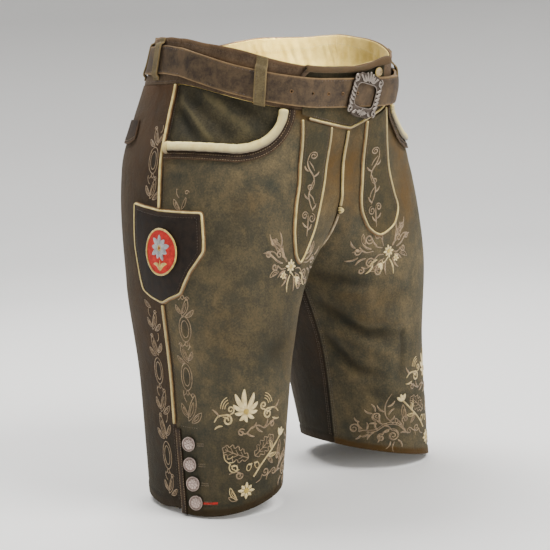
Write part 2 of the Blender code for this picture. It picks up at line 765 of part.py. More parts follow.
def middle_seam(z, radius):
    """Centre of a cord of that radius in the front middle seam, clear of both fronts."""
    points = section(z)[0][0][0]
    y = read(SECTIONS, "front", z) - radius - LAY_GAP
    while all(math.dist((0, y + LAY_GAP), p) > radius + LAY_GAP for p in dense(points)):
        y += LAY_GAP
    shift = place(1, 0.0, z).z - z
    return Vector((0, y, z + shift))


def dense(points):
    """The points of an outline with more between them."""
    made = []
    for a, b in zip(points, points[1:]):
        made += [(a[0] + (b[0] - a[0]) * t / 6, a[1] + (b[1] - a[1]) * t / 6) for t in range(6)]
    return made + [points[-1]]


FLY_TOP = FLAP_POINT["z"] - PIPING_CLEAR - 0.0010
KNOT_Z = -0.1755
KNOT_RADIUS = 0.0034
KNOT_CLEAR = 0.0045      # from the knot's middle to the end of the piping
CROTCH_PIPING_END = -0.2385


def fly():
    """Cord down the fly, a knot at its foot, and the cord on to the crotch."""
    stretches = (
        ("fly_piping", "cream", FLY_TOP, KNOT_Z + KNOT_CLEAR, 13),
        ("crotch_piping", "brown", KNOT_Z - KNOT_CLEAR, CROTCH_PIPING_END, 9),
    )
    for name, slot, top, bottom, count in stretches:
        path = [middle_seam(z, PIPING_RADIUS) for z in steps(top, bottom, count)]
        ups = [Vector((0, -1, 0))] * count
        tube(name, slot, path, ups, 2 * PIPING_RADIUS, 2 * PIPING_RADIUS)
    knot = Matrix.Translation(middle_seam(KNOT_Z, KNOT_RADIUS))
    bm = bmesh.new()
    bmesh.ops.create_uvsphere(bm, u_segments=10, v_segments=6, radius=KNOT_RADIUS, matrix=knot)
    finish("fly_knot", "cream", bm)


# --- Pocket trim, outseams and slits ----------------------------------------

def pocket_trim(word, side):
    """Rolled edge of the pocket mouth and the stitched welt below it."""
    mouth = [(side, min(around, trimmed(1.0, z, 0)), z) for around, z in pocket_mouth(18)]
    mouth[0] = (side, POCKET_START, WAISTBAND_SEAM - 0.0005)
    mouth[-1] = (side, from_side(0.0048, mouth[-1][2]), mouth[-1][2])
    height = POCKET_ROLL_HEIGHT
    path = [skin(*cell, TRIM_GAP + height / 2) for cell in mouth]
    ups = [outward(*cell) for cell in mouth]
    tube("pocket_roll_" + word, "cream", path, ups, POCKET_ROLL_WIDTH, height, sides=8)
    near = POCKET_ROLL_WIDTH / 2 + SEAM_GAP
    rows = []
    for i, (point, up) in enumerate(zip(path, ups)):
        ahead = (path[min(i + 1, len(path) - 1)] - path[max(i - 1, 0)]).normalized()
        down = up.cross(ahead).normalized() * -side
        rows.append((skin(*mouth[i], TRIM_GAP), down, up))
    reaches = (near, near + WELT_WIDTH / 2, near + WELT_WIDTH)
    outer = [[base + down * reach + up * WELT_THICK for base, down, up in rows] for reach in reaches]
    inner = [[base + down * reach for base, down, up in rows] for reach in reaches]
    wall("pocket_welt_" + word, "dark", outer, inner)


def side_trim():
    """Piping along the outseams, broken on the right by the knife pocket."""
    top = WAISTBAND_SEAM - 0.0008
    runs = (
        ("side_piping_right_upper", -1, top, KNIFE_TOP["middle"] + 0.0025, 16),
        ("side_piping_right_lower", -1, KNIFE_POINT - 0.0025, SLIT_TOP, 14),
        ("side_piping_left", 1, top, SLIT_TOP, 28),
    )
    for name, side, start, end, count in runs:
        piping(name, [(side, 1.0, z) for z in steps(start, end, count)], lay=TRIM_GAP)


def placket(word, side):
    """Edge strip and buttons of a slit."""
    grid = []
    for z in steps(SLIT_TOP - 0.004, HEM, 8):
        grid.append([(side, from_side(d, z), z) for d in (PLACKET["far"], PLACKET["near"])])
    panel("placket_" + word, "dark", grid, LAY_GAP + PLACKET["thick"], PLACKET["thick"])
    for number, spot in enumerate(BUTTONS, 1):
        cell = (side, from_side(spot["from_side"], spot["z"]), spot["z"])
        button(f"button_{word}_{number}", "silver", BUTTON_RADIUS, skin(*cell, LAY_GAP), outward(*cell))


def flap_button():
    """Horn button at the flap's left corner, half behind the belt."""
    cell = across(FLAP_BUTTON["across"], FLAP_BUTTON["z"])
    foot = skin(*cell, LAY_GAP + FLAP_THICK + LAY_GAP)
    button("flap_button", "horn", FLAP_BUTTON["radius"], foot, outward(*cell))


def button(name, slot, size, foot, up):
    """Round button, domed a little, standing on a short shank."""
    bm = bmesh.new()
    rings = []
    turn = Vector((0, 0, 1)).rotation_difference(up).to_matrix()
    for row in BUTTON_PROFILE:
        reach = row["share"] * size
        ring = []
        for k in range(BUTTON_SIDES):
            angle = 2 * math.pi * k / BUTTON_SIDES
            spot = Vector((reach * math.cos(angle), reach * math.sin(angle), row["height"]))
            ring.append(bm.verts.new(foot + turn @ spot))
        rings.append(ring)
    for a, b in zip(rings, rings[1:]):
        for k in range(BUTTON_SIDES):
            n = (k + 1) % BUTTON_SIDES
            bm.faces.new((a[k], a[n], b[n], b[k]))
    bm.faces.new(rings[0][::-1])
    bm.faces.new(rings[-1])
    finish(name, slot, bm)


# --- Knife pocket -----------------------------------------------------------

def knife_top(distance):
    """Height of the knife pocket's top edge, ahead of the outseam or behind it."""
    share = abs(distance) / KNIFE_REACH
    end = KNIFE_TOP["front"] if distance > 0 else KNIFE_TOP["back"]
    return KNIFE_TOP["middle"] + (end - KNIFE_TOP["middle"]) * share


def down_side(word):
    """One side of the knife pocket as (half width, z), top to bottom."""
    top = KNIFE_TOP[word]
    scale = (top - KNIFE_SHOULDER) / KNIFE_POCKET[-1]["down"]
    line = [(row[word], top - row["down"] * scale) for row in KNIFE_POCKET]
    return line + [(0.0, KNIFE_POINT)]


def knife_outline():
    """Border of the knife pocket, as (distance ahead of the outseam, z), all the way round."""
    top = [(d, knife_top(d)) for d in (-0.040, -0.020, 0.0, 0.020, 0.040)]
    rising = [(-half, z) for half, z in down_side("back")[-2::-1]]
    return top + down_side("front") + rising


def knife_pocket():
    """Knife pocket on the right outseam, and its piping."""
    outer, inner = [], []
    margin = PIPING_RADIUS + LAY_GAP
    lines = {word: sorted((z, half) for half, z in down_side(word)) for word in ("front", "back")}
    for share in steps(0, 1, 11):
        row_out, row_in = [], []
        for t in steps(-1.0, 1.0, 9):
            top = knife_top(t * KNIFE_REACH) - margin
            level = top + (KNIFE_POINT + margin * 1.8 - top) * share
            line = lines["front" if t > 0 else "back"]
            half = between([p[0] for p in line], [p[1] for p in line], level)
            d = t * max(half - margin * (1.1 + 2.0 * share ** 6), 0.001)
            swell = KNIFE_SWELL * (1 - t * t) * math.sin(math.pi * min(share * 0.9 + 0.1, 1.0))
            cell = (-1, from_side(d, level), level)
            row_out.append(skin(*cell, LAY_GAP + KNIFE_THICK + swell))
            row_in.append(skin(*cell, LAY_GAP))
        outer.append(row_out)
        inner.append(row_in)
    wall("knife_pocket", "dark", outer, inner)
    border = [(-1, from_side(d, z), z) for d, z in knife_outline()]
    piping("knife_pocket_piping", border, ring=True)


def badge():
    """Oval badge on the knife pocket."""
    outer, inner = [], []
    lift = LAY_GAP + KNIFE_THICK + KNIFE_SWELL + LAY_GAP
    for v in steps(-1, 1, 7):
        row_out, row_in = [], []
        for u in steps(-1, 1, 7):
            x = u * math.sqrt(1 - v * v / 2)
            y = v * math.sqrt(1 - u * u / 2)
            z = BADGE["z"] - y * BADGE["height"] / 2
            d = BADGE["across"] + x * BADGE["width"] / 2
            cell = (-1, from_side(d, z), z)
            row_out.append(skin(*cell, lift + BADGE["thick"]))
            row_in.append(skin(*cell, lift))
        outer.append(row_out)
        inner.append(row_in)
    wall("knife_pocket_badge", "badge", outer, inner)


def back_pocket():
    """Flap of the back pocket, its lower edge standing off a little."""
    outer, inner = [], []
    size = BACK_FLAP
    for share in steps(0, 1, 4):
        row_out, row_in = [], []
        for t in steps(0, 1, 8):
            droop = (1 - abs(2 * t - 1) ** 2.5) * 0.006
            z = size["top"] + (size["bottom"] + 0.004 - droop - size["top"]) * share
            d = -(size["near"] + (size["far"] - size["near"]) * t)
            lift = LAY_GAP + size["kick"] * share ** 2
            cell = (-1, from_side(d, z), z)
            row_out.append(skin(*cell, lift + size["thick"]))
            row_in.append(skin(*cell, lift))
        outer.append(row_out)
        inner.append(row_in)
    wall("back_pocket_flap", "dark", outer, inner)


# --- Belt -------------------------------------------------------------------

def belt_places():
    """Places of the belt from its end under the buckle, round the back, to its tip."""
    places = []
    for around in steps(BELT_START, 1.0, 13) + steps(1.0, 2.0, 15)[1:]:
        places.append((1, around, False))
    for around in steps(2.0, 1.0, 15)[1:] + steps(1.0, 0.0, 15)[1:]:
        places.append((-1, around, False))
    for around in steps(0.0, BELT_TIP, 8)[1:]:
        places.append((1, around, True))
    return places


def belt_lift(side, around, lapped):
    """How far the belt's inner face stands off the waistband."""
    lift = BELT_LIFT
    edge = 0.335 if side < 0 else 0.285
    if around < 1:
        lift += (BELT_FLAP_LIFT - BELT_LIFT) * ease((edge + 0.14 - around) / 0.12)
    if side > 0:
        lift += BELT_STAND_OFF * ease((around - 0.20) / 0.30) * ease((1.75 - around) / 0.45)
    if lapped:
        lift += BELT_LAP
    elif side < 0 and around < 1:
        lift += BELT_LAP * ease((0.20 - around) / 0.18)
    return lift


def belt_level(side, around, share):
    """Height on the skin of a line along the belt. share: -1 its lower edge, 1 its upper edge."""
    middle = read(BELT_LINE, "z", around, key="around")
    stretch = (place(side, around, middle + 0.01).z - place(side, around, middle - 0.01).z) / 0.02
    return middle + share * BELT_WIDTH / 2 / stretch


def belt():
    """Leather belt. Its tip lies over its other end."""
    outer, inner = [], []
    for share in (1, -1):
        row_out, row_in = [], []
        for side, around, lapped in belt_places():
            lift = belt_lift(side, around, lapped)
            z = belt_level(side, around, share)
            row_out.append(skin(side, around, z, lift + BELT_THICK))
            row_in.append(skin(side, around, z, lift))
        outer.append(row_out)
        inner.append(row_in)
    wall("belt", "brown", outer, inner)


def belt_loop(name, side, around):
    """Strip that holds the belt: sewn down above and below it."""
    crossing = belt_lift(side, around, False) + BELT_THICK + TRIM_GAP
    top, bottom = belt_level(side, around, 1), belt_level(side, around, -1)
    edge = waist_edge(side, around)
    rows = (
        (edge - 0.0008, LAY_GAP),
        (top + (edge - top) * 0.45, LAY_GAP + 0.0003),
        (top + 0.0012, crossing - 0.0002),
        ((top + bottom) / 2, crossing + 0.0006),
        (bottom - 0.0006, crossing - 0.0002),
        (bottom - 0.0040, LAY_GAP + 0.0006),
        (bottom - 0.0068, LAY_GAP),
    )
    outer, inner = [], []
    for z, lift in rows:
        half = LOOP_WIDTH / 2 / run_length(around, z)
        row_out, row_in = [], []
        for t in (-1, 0, 1):
            cell = (side, around + t * half, z)
            row_out.append(skin(*cell, lift + LOOP_THICK))
            row_in.append(skin(*cell, lift))
        outer.append(row_out)
        inner.append(row_in)
    wall(name, "suede", outer, inner)


def belt_loops():
    """The belt loops, three a side."""
    for row in LOOPS:
        for word, side in (("right", -1), ("left", 1)):
            belt_loop(f"{row['name']}_{word}", side, row["around"])


def buckle_frame(angle, inset):
    """Outline of the buckle's frame in its own plane. inset: 0 its rim, 1 its window."""
    c, s = math.cos(angle), math.sin(angle)
    reach = inset * BUCKLE["bar"]
    x = (BUCKLE["width"] / 2 - reach) * math.copysign(abs(c) ** 0.42, c)
    z = (BUCKLE["height"] / 2 - reach * 1.25) * math.copysign(abs(s) ** 0.42, s)
    if inset < 0.5:
        z += 0.0020 * math.copysign(ease((abs(s) - 0.88) / 0.12), s)
    return x, z


def buckle():
    """Rectangular frame buckle, tipped forwards, with a crest at its head and foot."""
    size = BUCKLE
    lift = BELT_FLAP_LIFT + BELT_THICK + BELT_LAP + BUCKLE["off"]
    centre = skin(*across(size["across"], size["z"]), lift)
    lean = Matrix.Rotation(math.radians(size["lean"]), 3, "X")
    turn = lean @ Matrix.Rotation(math.radians(size["tilt"]), 3, "Y")
    bm = bmesh.new()
    count = 36
    loops = []
    for inset, height in ((0.0, 0.0), (0.0, 0.6), (0.25, 1.0), (0.75, 1.0), (1.0, 0.6), (1.0, 0.0)):
        ring = []
        for k in range(count):
            x, z = buckle_frame(2 * math.pi * (k + 0.5) / count, inset)
            ring.append(bm.verts.new(centre + turn @ Vector((x, -height * size["thick"], z))))
        loops.append(ring)
    for i in range(len(loops)):
        a, b = loops[i], loops[(i + 1) % len(loops)]
        for k in range(count):
            n = (k + 1) % count
            bm.faces.new((a[k], a[n], b[n], b[k]))
    finish("buckle", "silver", bm)


def build():
    """Every piece of the garment."""
    for old in list(bpy.data.objects):
        bpy.data.objects.remove(old)
    waist_pieces()
    for word, side in (("right", -1), ("left", 1)):
        front("front_" + word, side)
        back("back_" + word, side)
        facing("facing_" + word, side)
        pocket_trim(word, side)
        tongue(word)
        placket(word, side)
    side_trim()
    flap()
    flap_trim()
    flap_button()
    fly()
    knife_pocket()
    badge()
    back_pocket()
    belt()
    belt_loops()
    buckle()


build()
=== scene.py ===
import math

import bmesh
import bpy
import numpy as np
from mathutils import Matrix, Vector


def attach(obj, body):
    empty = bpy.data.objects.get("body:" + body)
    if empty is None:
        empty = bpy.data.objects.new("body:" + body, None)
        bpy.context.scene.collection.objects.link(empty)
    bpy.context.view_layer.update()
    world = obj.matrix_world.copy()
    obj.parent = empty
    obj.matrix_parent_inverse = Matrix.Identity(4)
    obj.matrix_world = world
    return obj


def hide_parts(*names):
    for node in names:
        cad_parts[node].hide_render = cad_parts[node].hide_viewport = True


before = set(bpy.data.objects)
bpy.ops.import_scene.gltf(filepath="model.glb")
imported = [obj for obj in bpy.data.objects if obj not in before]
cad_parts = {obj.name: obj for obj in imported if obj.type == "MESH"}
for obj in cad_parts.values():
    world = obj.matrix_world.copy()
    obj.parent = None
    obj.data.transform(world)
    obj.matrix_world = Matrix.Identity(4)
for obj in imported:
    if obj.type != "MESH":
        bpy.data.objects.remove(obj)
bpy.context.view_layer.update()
print("frame loaded,", len(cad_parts), "nodes")
mm = 0.001
hands = (("Right", -1), ("Left", 1))  # the wearer's right is at -x

# form of the body: heights run down the side seam, all in metres
level = dict(waistTop=0.035, bandSeam=-0.02, crotch=-0.241, slitTop=-0.398, hem=-0.492)
form = dict(
    frontFork=0.095, backFork=0.13, forkPower=2.4, sideRound=2.3, innerRound=2.1,
    cornerSteps=14, frontDip=0.048, backRise=0.006, dipPower=1.33, dipReach=0.22,
    hemLean=0.035, hemFall=0.22, middleGap=0.00015, levelStep=0.002, shares=96,
)
sectionTable = (
    (0.035, 0.1351, -0.1283, 0.1108, 0.0084), (0.003, 0.1385, -0.122, 0.1225, 0.012),
    (-0.025, 0.1447, -0.1171, 0.14, 0.0142), (-0.06, 0.159, -0.1098, 0.1502, 0.012),
    (-0.115, 0.1801, -0.099, 0.1599, 0.0059), (-0.241, 0.1968, -0.0909, 0.1367, -0.0024),
    (-0.3665, 0.1811, -0.0873, 0.1257, 0.0105), (-0.492, 0.1899, -0.0765, 0.1083, -0.003),
)
inseamTable = (
    (-0.241, 0.0, -0.0058), (-0.271, 0.0164, -0.0052), (-0.3665, 0.0482, -0.002),
    (-0.492, 0.0623, 0.0016),
)
leftPullTable = (
    (0.035, 0.019), (0.01, 0.0185), (-0.012, 0.0225), (-0.028, 0.024), (-0.055, 0.014), (-0.09, 0.0045),
    (-0.14, 0.0),
)
waistEdgeTable = (
    (0.0, 0.035, 0.036), (0.25, 0.035, 0.042), (0.6, 0.035, 0.042), (0.75, 0.0325, 0.04),
    (0.87, 0.03, 0.037), (1.0, 0.0305, 0.036), (1.12, 0.033, 0.036), (1.25, 0.033, 0.035),
    (1.37, 0.0315, 0.035), (1.55, 0.035, 0.035), (1.7, 0.0325, 0.032), (1.8, 0.03, 0.0298),
    (1.9, 0.027, 0.0268), (2.0, 0.0245, 0.0245),
)
# creases of the legs: side (0 is both), places (around, height), depth outwards and half width in mm
creases = (
    (1, ((0.32, -0.275), (0.78, -0.345)), -4, 12), (1, ((0.3, -0.325), (0.72, -0.395)), -3.5, 12),
    (1, ((0.25, -0.3), (0.75, -0.372)), 2.5, 12), (-1, ((0.12, -0.262), (0.52, -0.33)), -3, 12),
    (-1, ((1.3, -0.29), (1.85, -0.262)), -4, 14), (1, ((1.25, -0.3), (1.8, -0.266)), -4, 14),
    (-1, ((1.35, -0.33), (1.8, -0.31)), 3, 14), (1, ((1.4, -0.345), (1.85, -0.318)), 3, 14),
    (1, ((0.02, -0.246), (0.2, -0.262), (0.5, -0.284)), -3, 11),
    (1, ((0.16, -0.276), (0.3, -0.282), (0.52, -0.27)), 2.2, 9),
    (1, ((0.05, -0.286), (0.14, -0.308), (0.25, -0.332), (0.46, -0.336)), -3.6, 8),
    (1, ((0.2, -0.312), (0.34, -0.316), (0.48, -0.326)), 2.4, 7),
    (1, ((0.03, -0.33), (0.1, -0.356), (0.18, -0.38), (0.34, -0.392)), -3.4, 8),
    (1, ((0.11, -0.338), (0.24, -0.352), (0.38, -0.366)), 2.4, 8),
    (1, ((0.2, -0.404), (0.36, -0.424), (0.52, -0.42)), -2, 10),
    (1, ((0.45, -0.322), (0.43, -0.355), (0.4, -0.398)), -2, 5),
    (-1, ((0.42, -0.285), (0.86, -0.325)), 1.4, 13), (-1, ((0.3, -0.325), (0.72, -0.372)), -1.3, 12),
    (-1, ((0.34, -0.165), (0.78, -0.12)), 1.2, 13), (-1, ((0.44, -0.205), (0.88, -0.16)), -1.2, 12),
    (1, ((0.3, -0.185), (0.8, -0.14)), -1.2, 12), (0, ((1.1, -0.15), (1.7, -0.185)), -1.8, 14),
    (-1, ((1.15, -0.385), (1.7, -0.405)), -1.6, 12), (1, ((1.15, -0.39), (1.7, -0.41)), -1.6, 12),
)


def ease(t):
    t = np.clip(t, 0.0, 1.0)
    return t * t * (3 - 2 * t)


def hump(distance, width):
    # 1 where the distance is nothing, falling away softly over the width
    return np.exp(-((distance / width) ** 2))


def evenly(count):
    return np.linspace(0, 1, count)


def unit(vectors):
    return vectors / np.linalg.norm(vectors, axis=-1, keepdims=True)


def readAlong(here, runs, table):
    # rows of a table read at places along their runs
    return np.stack([np.interp(here, runs, column) for column in np.asarray(table).T], -1)


def smoothRead(table, column, at):
    # a smooth curve through one column of a table that never overshoots its rows
    rows = np.array(sorted(table))
    x, y = rows[:, 0], rows[:, column]
    gap = np.diff(x)
    slope = np.diff(y) / gap
    bend = np.zeros(len(x))
    bend[0], bend[-1] = slope[0], slope[-1]
    for i in range(1, len(slope)):
        if slope[i - 1] * slope[i] > 0:
            before, after = 2 * gap[i] + gap[i - 1], gap[i] + 2 * gap[i - 1]
            bend[i] = (before + after) / (before / slope[i - 1] + after / slope[i])
    at = np.asarray(at, float)
    i = np.clip(np.searchsorted(x, at) - 1, 0, len(gap) - 1)
    t = (at - x[i]) / gap[i]
    near = (2 * t**3 - 3 * t**2 + 1) * y[i] + (3 * t**2 - 2 * t**3) * y[i + 1]
    turn = (t**3 - 2 * t**2 + t) * bend[i] + (t**3 - t**2) * bend[i + 1]
    return near + gap[i] * turn


def roundedCorner(start, end, power):
    t = np.linspace(0, math.pi / 2, form["cornerSteps"] + 1)
    x = end[0] + (start[0] - end[0]) * np.maximum(np.cos(t), 0.0) ** (2 / power)
    y = start[1] + (end[1] - start[1]) * np.sin(t) ** (2 / power)
    return np.stack([x, y], 1)


def halfSection(z):
    # front and back outlines of one half at a height, each from its edge to the outseam
    side, front, back, seam = (float(smoothRead(sectionTable, c, z)) for c in (1, 2, 3, 4))
    across = float(smoothRead(inseamTable, 2, min(z, level["crotch"])))
    edges = [across, across]
    if z >= level["crotch"]:
        inner = 0.0
        for i, (flat, fork) in enumerate(((front, form["frontFork"]), (back, form["backFork"]))):
            down = min(max(1 - (z - level["crotch"]) / fork, 0), 1)
            edges[i] = flat + (across - flat) * down ** form["forkPower"]
        blend = min((z - level["crotch"]) / 0.12, 1)
        mids = (side * (0.5 - 0.2 * blend), side * (0.5 - 0.1 * blend))
    else:
        inner = float(smoothRead(inseamTable, 1, z))
        mids = ((inner + side) / 2,) * 2
    halves = []
    for edge, flat, mid in zip(edges, (front, back), mids):
        inward = roundedCorner((inner, edge), (mid, flat), form["innerRound"])
        outward = roundedCorner((side, seam), (mid, flat), form["sideRound"])
        halves.append(np.concatenate([inward, outward[::-1][1:]]))
    return halves, side, front, back, seam, inner


def runsAlong(points):
    return np.concatenate([[0.0], np.cumsum(np.linalg.norm(np.diff(points, axis=0), axis=1))])


def surveyForm():
    # tables of points over height and place around, for both halves, mirrored to +x
    count = form["shares"]
    places = np.zeros((2, len(levels), 2 * count + 1, 3))
    lengths = np.zeros((2, len(levels)))
    for row, z in enumerate(levels):
        halves, side, front, back, seam, inner = halfSection(z)
        line = []
        for half, points in enumerate(halves):
            runs = runsAlong(points)
            lengths[half, row] = runs[-1]
            read = readAlong(evenly(count + 1) * runs[-1], runs, points)
            line.append(read[::-1][1:] if half else read)
        x, y = np.concatenate(line).T
        top = ease(1 + (z - level["waistTop"]) / form["dipReach"])
        ahead = np.maximum(seam - y, 0) / (seam - front)
        behind = np.maximum(y - seam, 0) / (back - seam)
        rise, dip = (part ** form["dipPower"] for part in (behind, ahead))
        drop = top * (form["backRise"] * rise - form["frontDip"] * dip)
        low = ease((level["crotch"] - 0.05 - z) / (level["crotch"] - 0.05 - level["hem"]))
        drop = drop + low * form["hemLean"] * (y - seam) - low * form["hemFall"] * (x - (side + inner) / 2)
        pulled = max(float(smoothRead(leftPullTable, 1, max(z, leftPullTable[-1][0]))), 0.0)
        pulls[row] = 1 - pulled / side
        for k, share in enumerate((1.0, pulls[row])):
            places[k, row] = np.stack([x * share + form["middleGap"], y, z + drop], 1)
    return places, lengths


levels = level["crotch"] + form["levelStep"] * np.arange(-131, 155)
pulls = np.ones(len(levels))
formPlaces, formLengths = surveyForm()


def placeOn(side, around, z):
    side, around, z = np.broadcast_arrays(side, around, z)
    column = np.clip(around, 0, 2) * form["shares"]
    row = np.clip((z - levels[0]) / form["levelStep"], 0, len(levels) - 1.001)
    c = np.minimum(column.astype(int), 2 * form["shares"] - 1)
    r = row.astype(int)
    fc, fr = (column - c)[..., None], (row - r)[..., None]
    k = (side > 0).astype(int)
    upper = formPlaces[k, r, c] * (1 - fc) + formPlaces[k, r, c + 1] * fc
    lower = formPlaces[k, r + 1, c] * (1 - fc) + formPlaces[k, r + 1, c + 1] * fc
    return upper * (1 - fr) + lower * fr


def runLength(around, z):
    around, z = np.broadcast_arrays(around, z)
    front = np.interp(z, levels, formLengths[0])
    back = np.interp(z, levels, formLengths[1])
    return np.where(around <= 1, front, back)


def nearLine(points, knots):
    # how far points lie from a bent line, and their share along it
    runs = runsAlong(knots)
    nearest, share = np.full(points.shape[:-1], 1e9), np.zeros(points.shape[:-1])
    for a, b, run in zip(knots, knots[1:], runs):
        line = b - a
        t = np.clip(((points - a) @ line) / (line @ line), 0, 1)
        away = np.linalg.norm(points - a - t[..., None] * line, axis=-1)
        closer = away < nearest
        nearest = np.where(closer, away, nearest)
        share = np.where(closer, (run + t * math.sqrt(line @ line)) / runs[-1], share)
    return nearest, share


def creaseLift(side, points):
    total = np.zeros(points.shape[:-1])
    for hand, line, depth, width in creases:
        for where in (hand,) if hand else (-1, 1):
            mine = (side > 0) == (where > 0)
            if mine.any():
                nearest, share = nearLine(points, np.array([placeOn(where, *spot) for spot in line]))
                fade = np.sqrt(np.maximum(np.sin(math.pi * share), 0.0))
                total += np.where(mine, depth * mm * hump(nearest, width * mm) * fade, 0.0)
    return total


def onSkin(side, around, z, lift=0.0):
    # points on the garment lifted off it, and the way straight out of it; side is -1 for the wearer's right
    side, around, z, lift = np.broadcast_arrays(*(np.asarray(v, float) for v in (side, around, z, lift)))
    points = placeOn(side, around, z)
    reach = 0.003 / runLength(around, z)
    along = placeOn(side, around + reach, z) - placeOn(side, around - reach, z)
    down = placeOn(side, around, z - 0.003) - placeOn(side, around, z + 0.003)
    out = np.cross(down, along)
    # the two halves share one direction where they meet above the forks
    fromEdge = np.minimum(around, 2 - around) * runLength(around, z)
    fork = np.where(around < 1, form["frontFork"], form["backFork"])
    joined = (z > level["crotch"] + fork) & (fromEdge < 0.006)
    out[..., 0] *= np.where(joined, ease(fromEdge / 0.006), 1.0)
    out = unit(out)
    points = points + out * (lift + creaseLift(side, points))[..., None]
    points[..., 0] *= side
    out[..., 0] *= side
    return points, out


def fromSide(distance, z):
    # place around at a distance from the outseam, ahead of it if positive
    distance, z = np.broadcast_arrays(np.asarray(distance, float), np.asarray(z, float))
    half = np.where(distance >= 0, 0.5, 1.5)
    return 1 - distance / runLength(half, z)


frontReach = formPlaces[0, :, : form["shares"] + 1, 0] - form["middleGap"]


def fromMiddle(x, z):
    # side and place around on the front at a signed distance from the middle plane
    x, z = np.broadcast_arrays(np.asarray(x, float), np.asarray(z, float))
    reach = np.abs(x) / np.where(x > 0, np.interp(z, levels, pulls), 1.0)
    rows = np.clip((z - levels[0]) / form["levelStep"], 0, len(levels) - 1.001)
    around = []
    for row, wanted in zip(rows.ravel(), reach.ravel()):
        low = int(row)
        line = frontReach[low] * (1 - row + low) + frontReach[low + 1] * (row - low)
        around.append(np.interp(wanted, line, evenly(form["shares"] + 1)))
    return np.where(x > 0, 1.0, -1.0), np.array(around).reshape(x.shape), z


def onSide(side, reach, z, lift=0.0):
    # points at a distance ahead of the outseam
    return onSkin(side, fromSide(reach, z), z, lift)


def onFront(x, z, lift=0.0):
    # points at a distance from the middle of the front
    return onSkin(*fromMiddle(x, z), lift)


print("form surveyed")


def linearColour(code):
    # sRGB hex to linear
    parts = [int(code[i:i + 2], 16) / 255 for i in (1, 3, 5)]
    return tuple(p / 12.92 if p <= 0.04045 else ((p + 0.055) / 1.055) ** 2.4 for p in parts) + (1.0,)


def addNode(tree, kind, inputs=None, stops=(), **settings):
    made = tree.nodes.new("ShaderNode" + kind)
    for name, value in settings.items():
        setattr(made, name, value)
    for name, value in (inputs or {}).items():
        if isinstance(value, bpy.types.NodeSocket):
            tree.links.new(value, made.inputs[name])
        else:
            made.inputs[name].default_value = value
    for _ in stops[2:]:
        made.color_ramp.elements.new(0.5)
    for number, (position, colour) in enumerate(stops):
        made.color_ramp.elements[number].position = position
        made.color_ramp.elements[number].color = linearColour(colour)
    return made


def newMaterial(name, **sockets):
    made = bpy.data.materials.new(name)
    made.use_nodes = True
    tree = made.node_tree
    shader = tree.nodes["Principled BSDF"]
    for key, value in sockets.items():
        shader.inputs[key.replace("_", " ")].default_value = value
    spot = addNode(tree, "TexCoord").outputs["Object"]
    return made, tree, shader, spot


def finishPiece(made, finish, slotName, *stands):
    made.data.materials.append(finish)
    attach(made, "root")
    if stands:
        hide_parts(*stands)
    return made


def meshFrom(name, bm):
    mesh = bpy.data.meshes.new(name)
    bm.to_mesh(mesh)
    bm.free()
    return mesh


def linkMesh(name, bm):
    mesh = meshFrom(name, bm)
    mesh.shade_smooth()
    made = bpy.data.objects.new(name, mesh)
    bpy.context.scene.collection.objects.link(made)
    return made


def gridCells(verts, rows, columns):
    # row and column of each vertex of a new grid
    spots = np.array([v.co[:2] for v in verts])
    cells = np.rint((spots + 0.5) * (columns - 1, rows - 1)).astype(int)
    return cells[:, 1], cells[:, 0]


def sheetPiece(name, skin, finish, slotName, node, thick, rim=0.0005, uv=None, weights=None, **marks):
    # a sheet through a table of points, faced the way given, with a wall behind it and softened cut edges
    points, out = skin
    rows, columns = points.shape[:2]
    bm = bmesh.new()
    bmesh.ops.create_grid(bm, x_segments=columns - 1, y_segments=rows - 1, size=0.5)
    made = linkMesh(name, bm)
    mesh = made.data
    r, c = gridCells(mesh.vertices, rows, columns)
    mesh.vertices.foreach_set("co", points[r, c].ravel())
    for key, values in marks.items():
        mesh.attributes.new(key, "FLOAT", "POINT").data.foreach_set("value", values[r, c].ravel())
    if uv is not None:
        corners = np.empty(len(mesh.loops), int)
        mesh.loops.foreach_get("vertex_index", corners)
        mesh.uv_layers.new(name="UVMap").data.foreach_set("uv", np.stack(uv, -1)[r, c][corners].ravel())
    facing = np.cross(points[:-1, 1:] - points[:-1, :-1], points[1:, :-1] - points[:-1, :-1])
    if (facing * out[:-1, :-1]).sum() < 0:
        mesh.flip_normals()
    mesh.update()
    solid = made.modifiers.new("thickness", "SOLIDIFY")
    solid.thickness = thick
    solid.offset = -1.0
    if weights is not None:
        wall = made.vertex_groups.new(name="wall")
        for share in np.unique(weights):
            wall.add(np.nonzero(weights[r, c] == share)[0].tolist(), float(share), "REPLACE")
        solid.vertex_group = "wall"
    if rim:
        edge = made.modifiers.new("rim", "BEVEL")
        edge.width = rim
        edge.segments = 2
        edge.limit_method = "ANGLE"
        edge.angle_limit = math.radians(50)
    return finishPiece(made, finish, slotName, node)


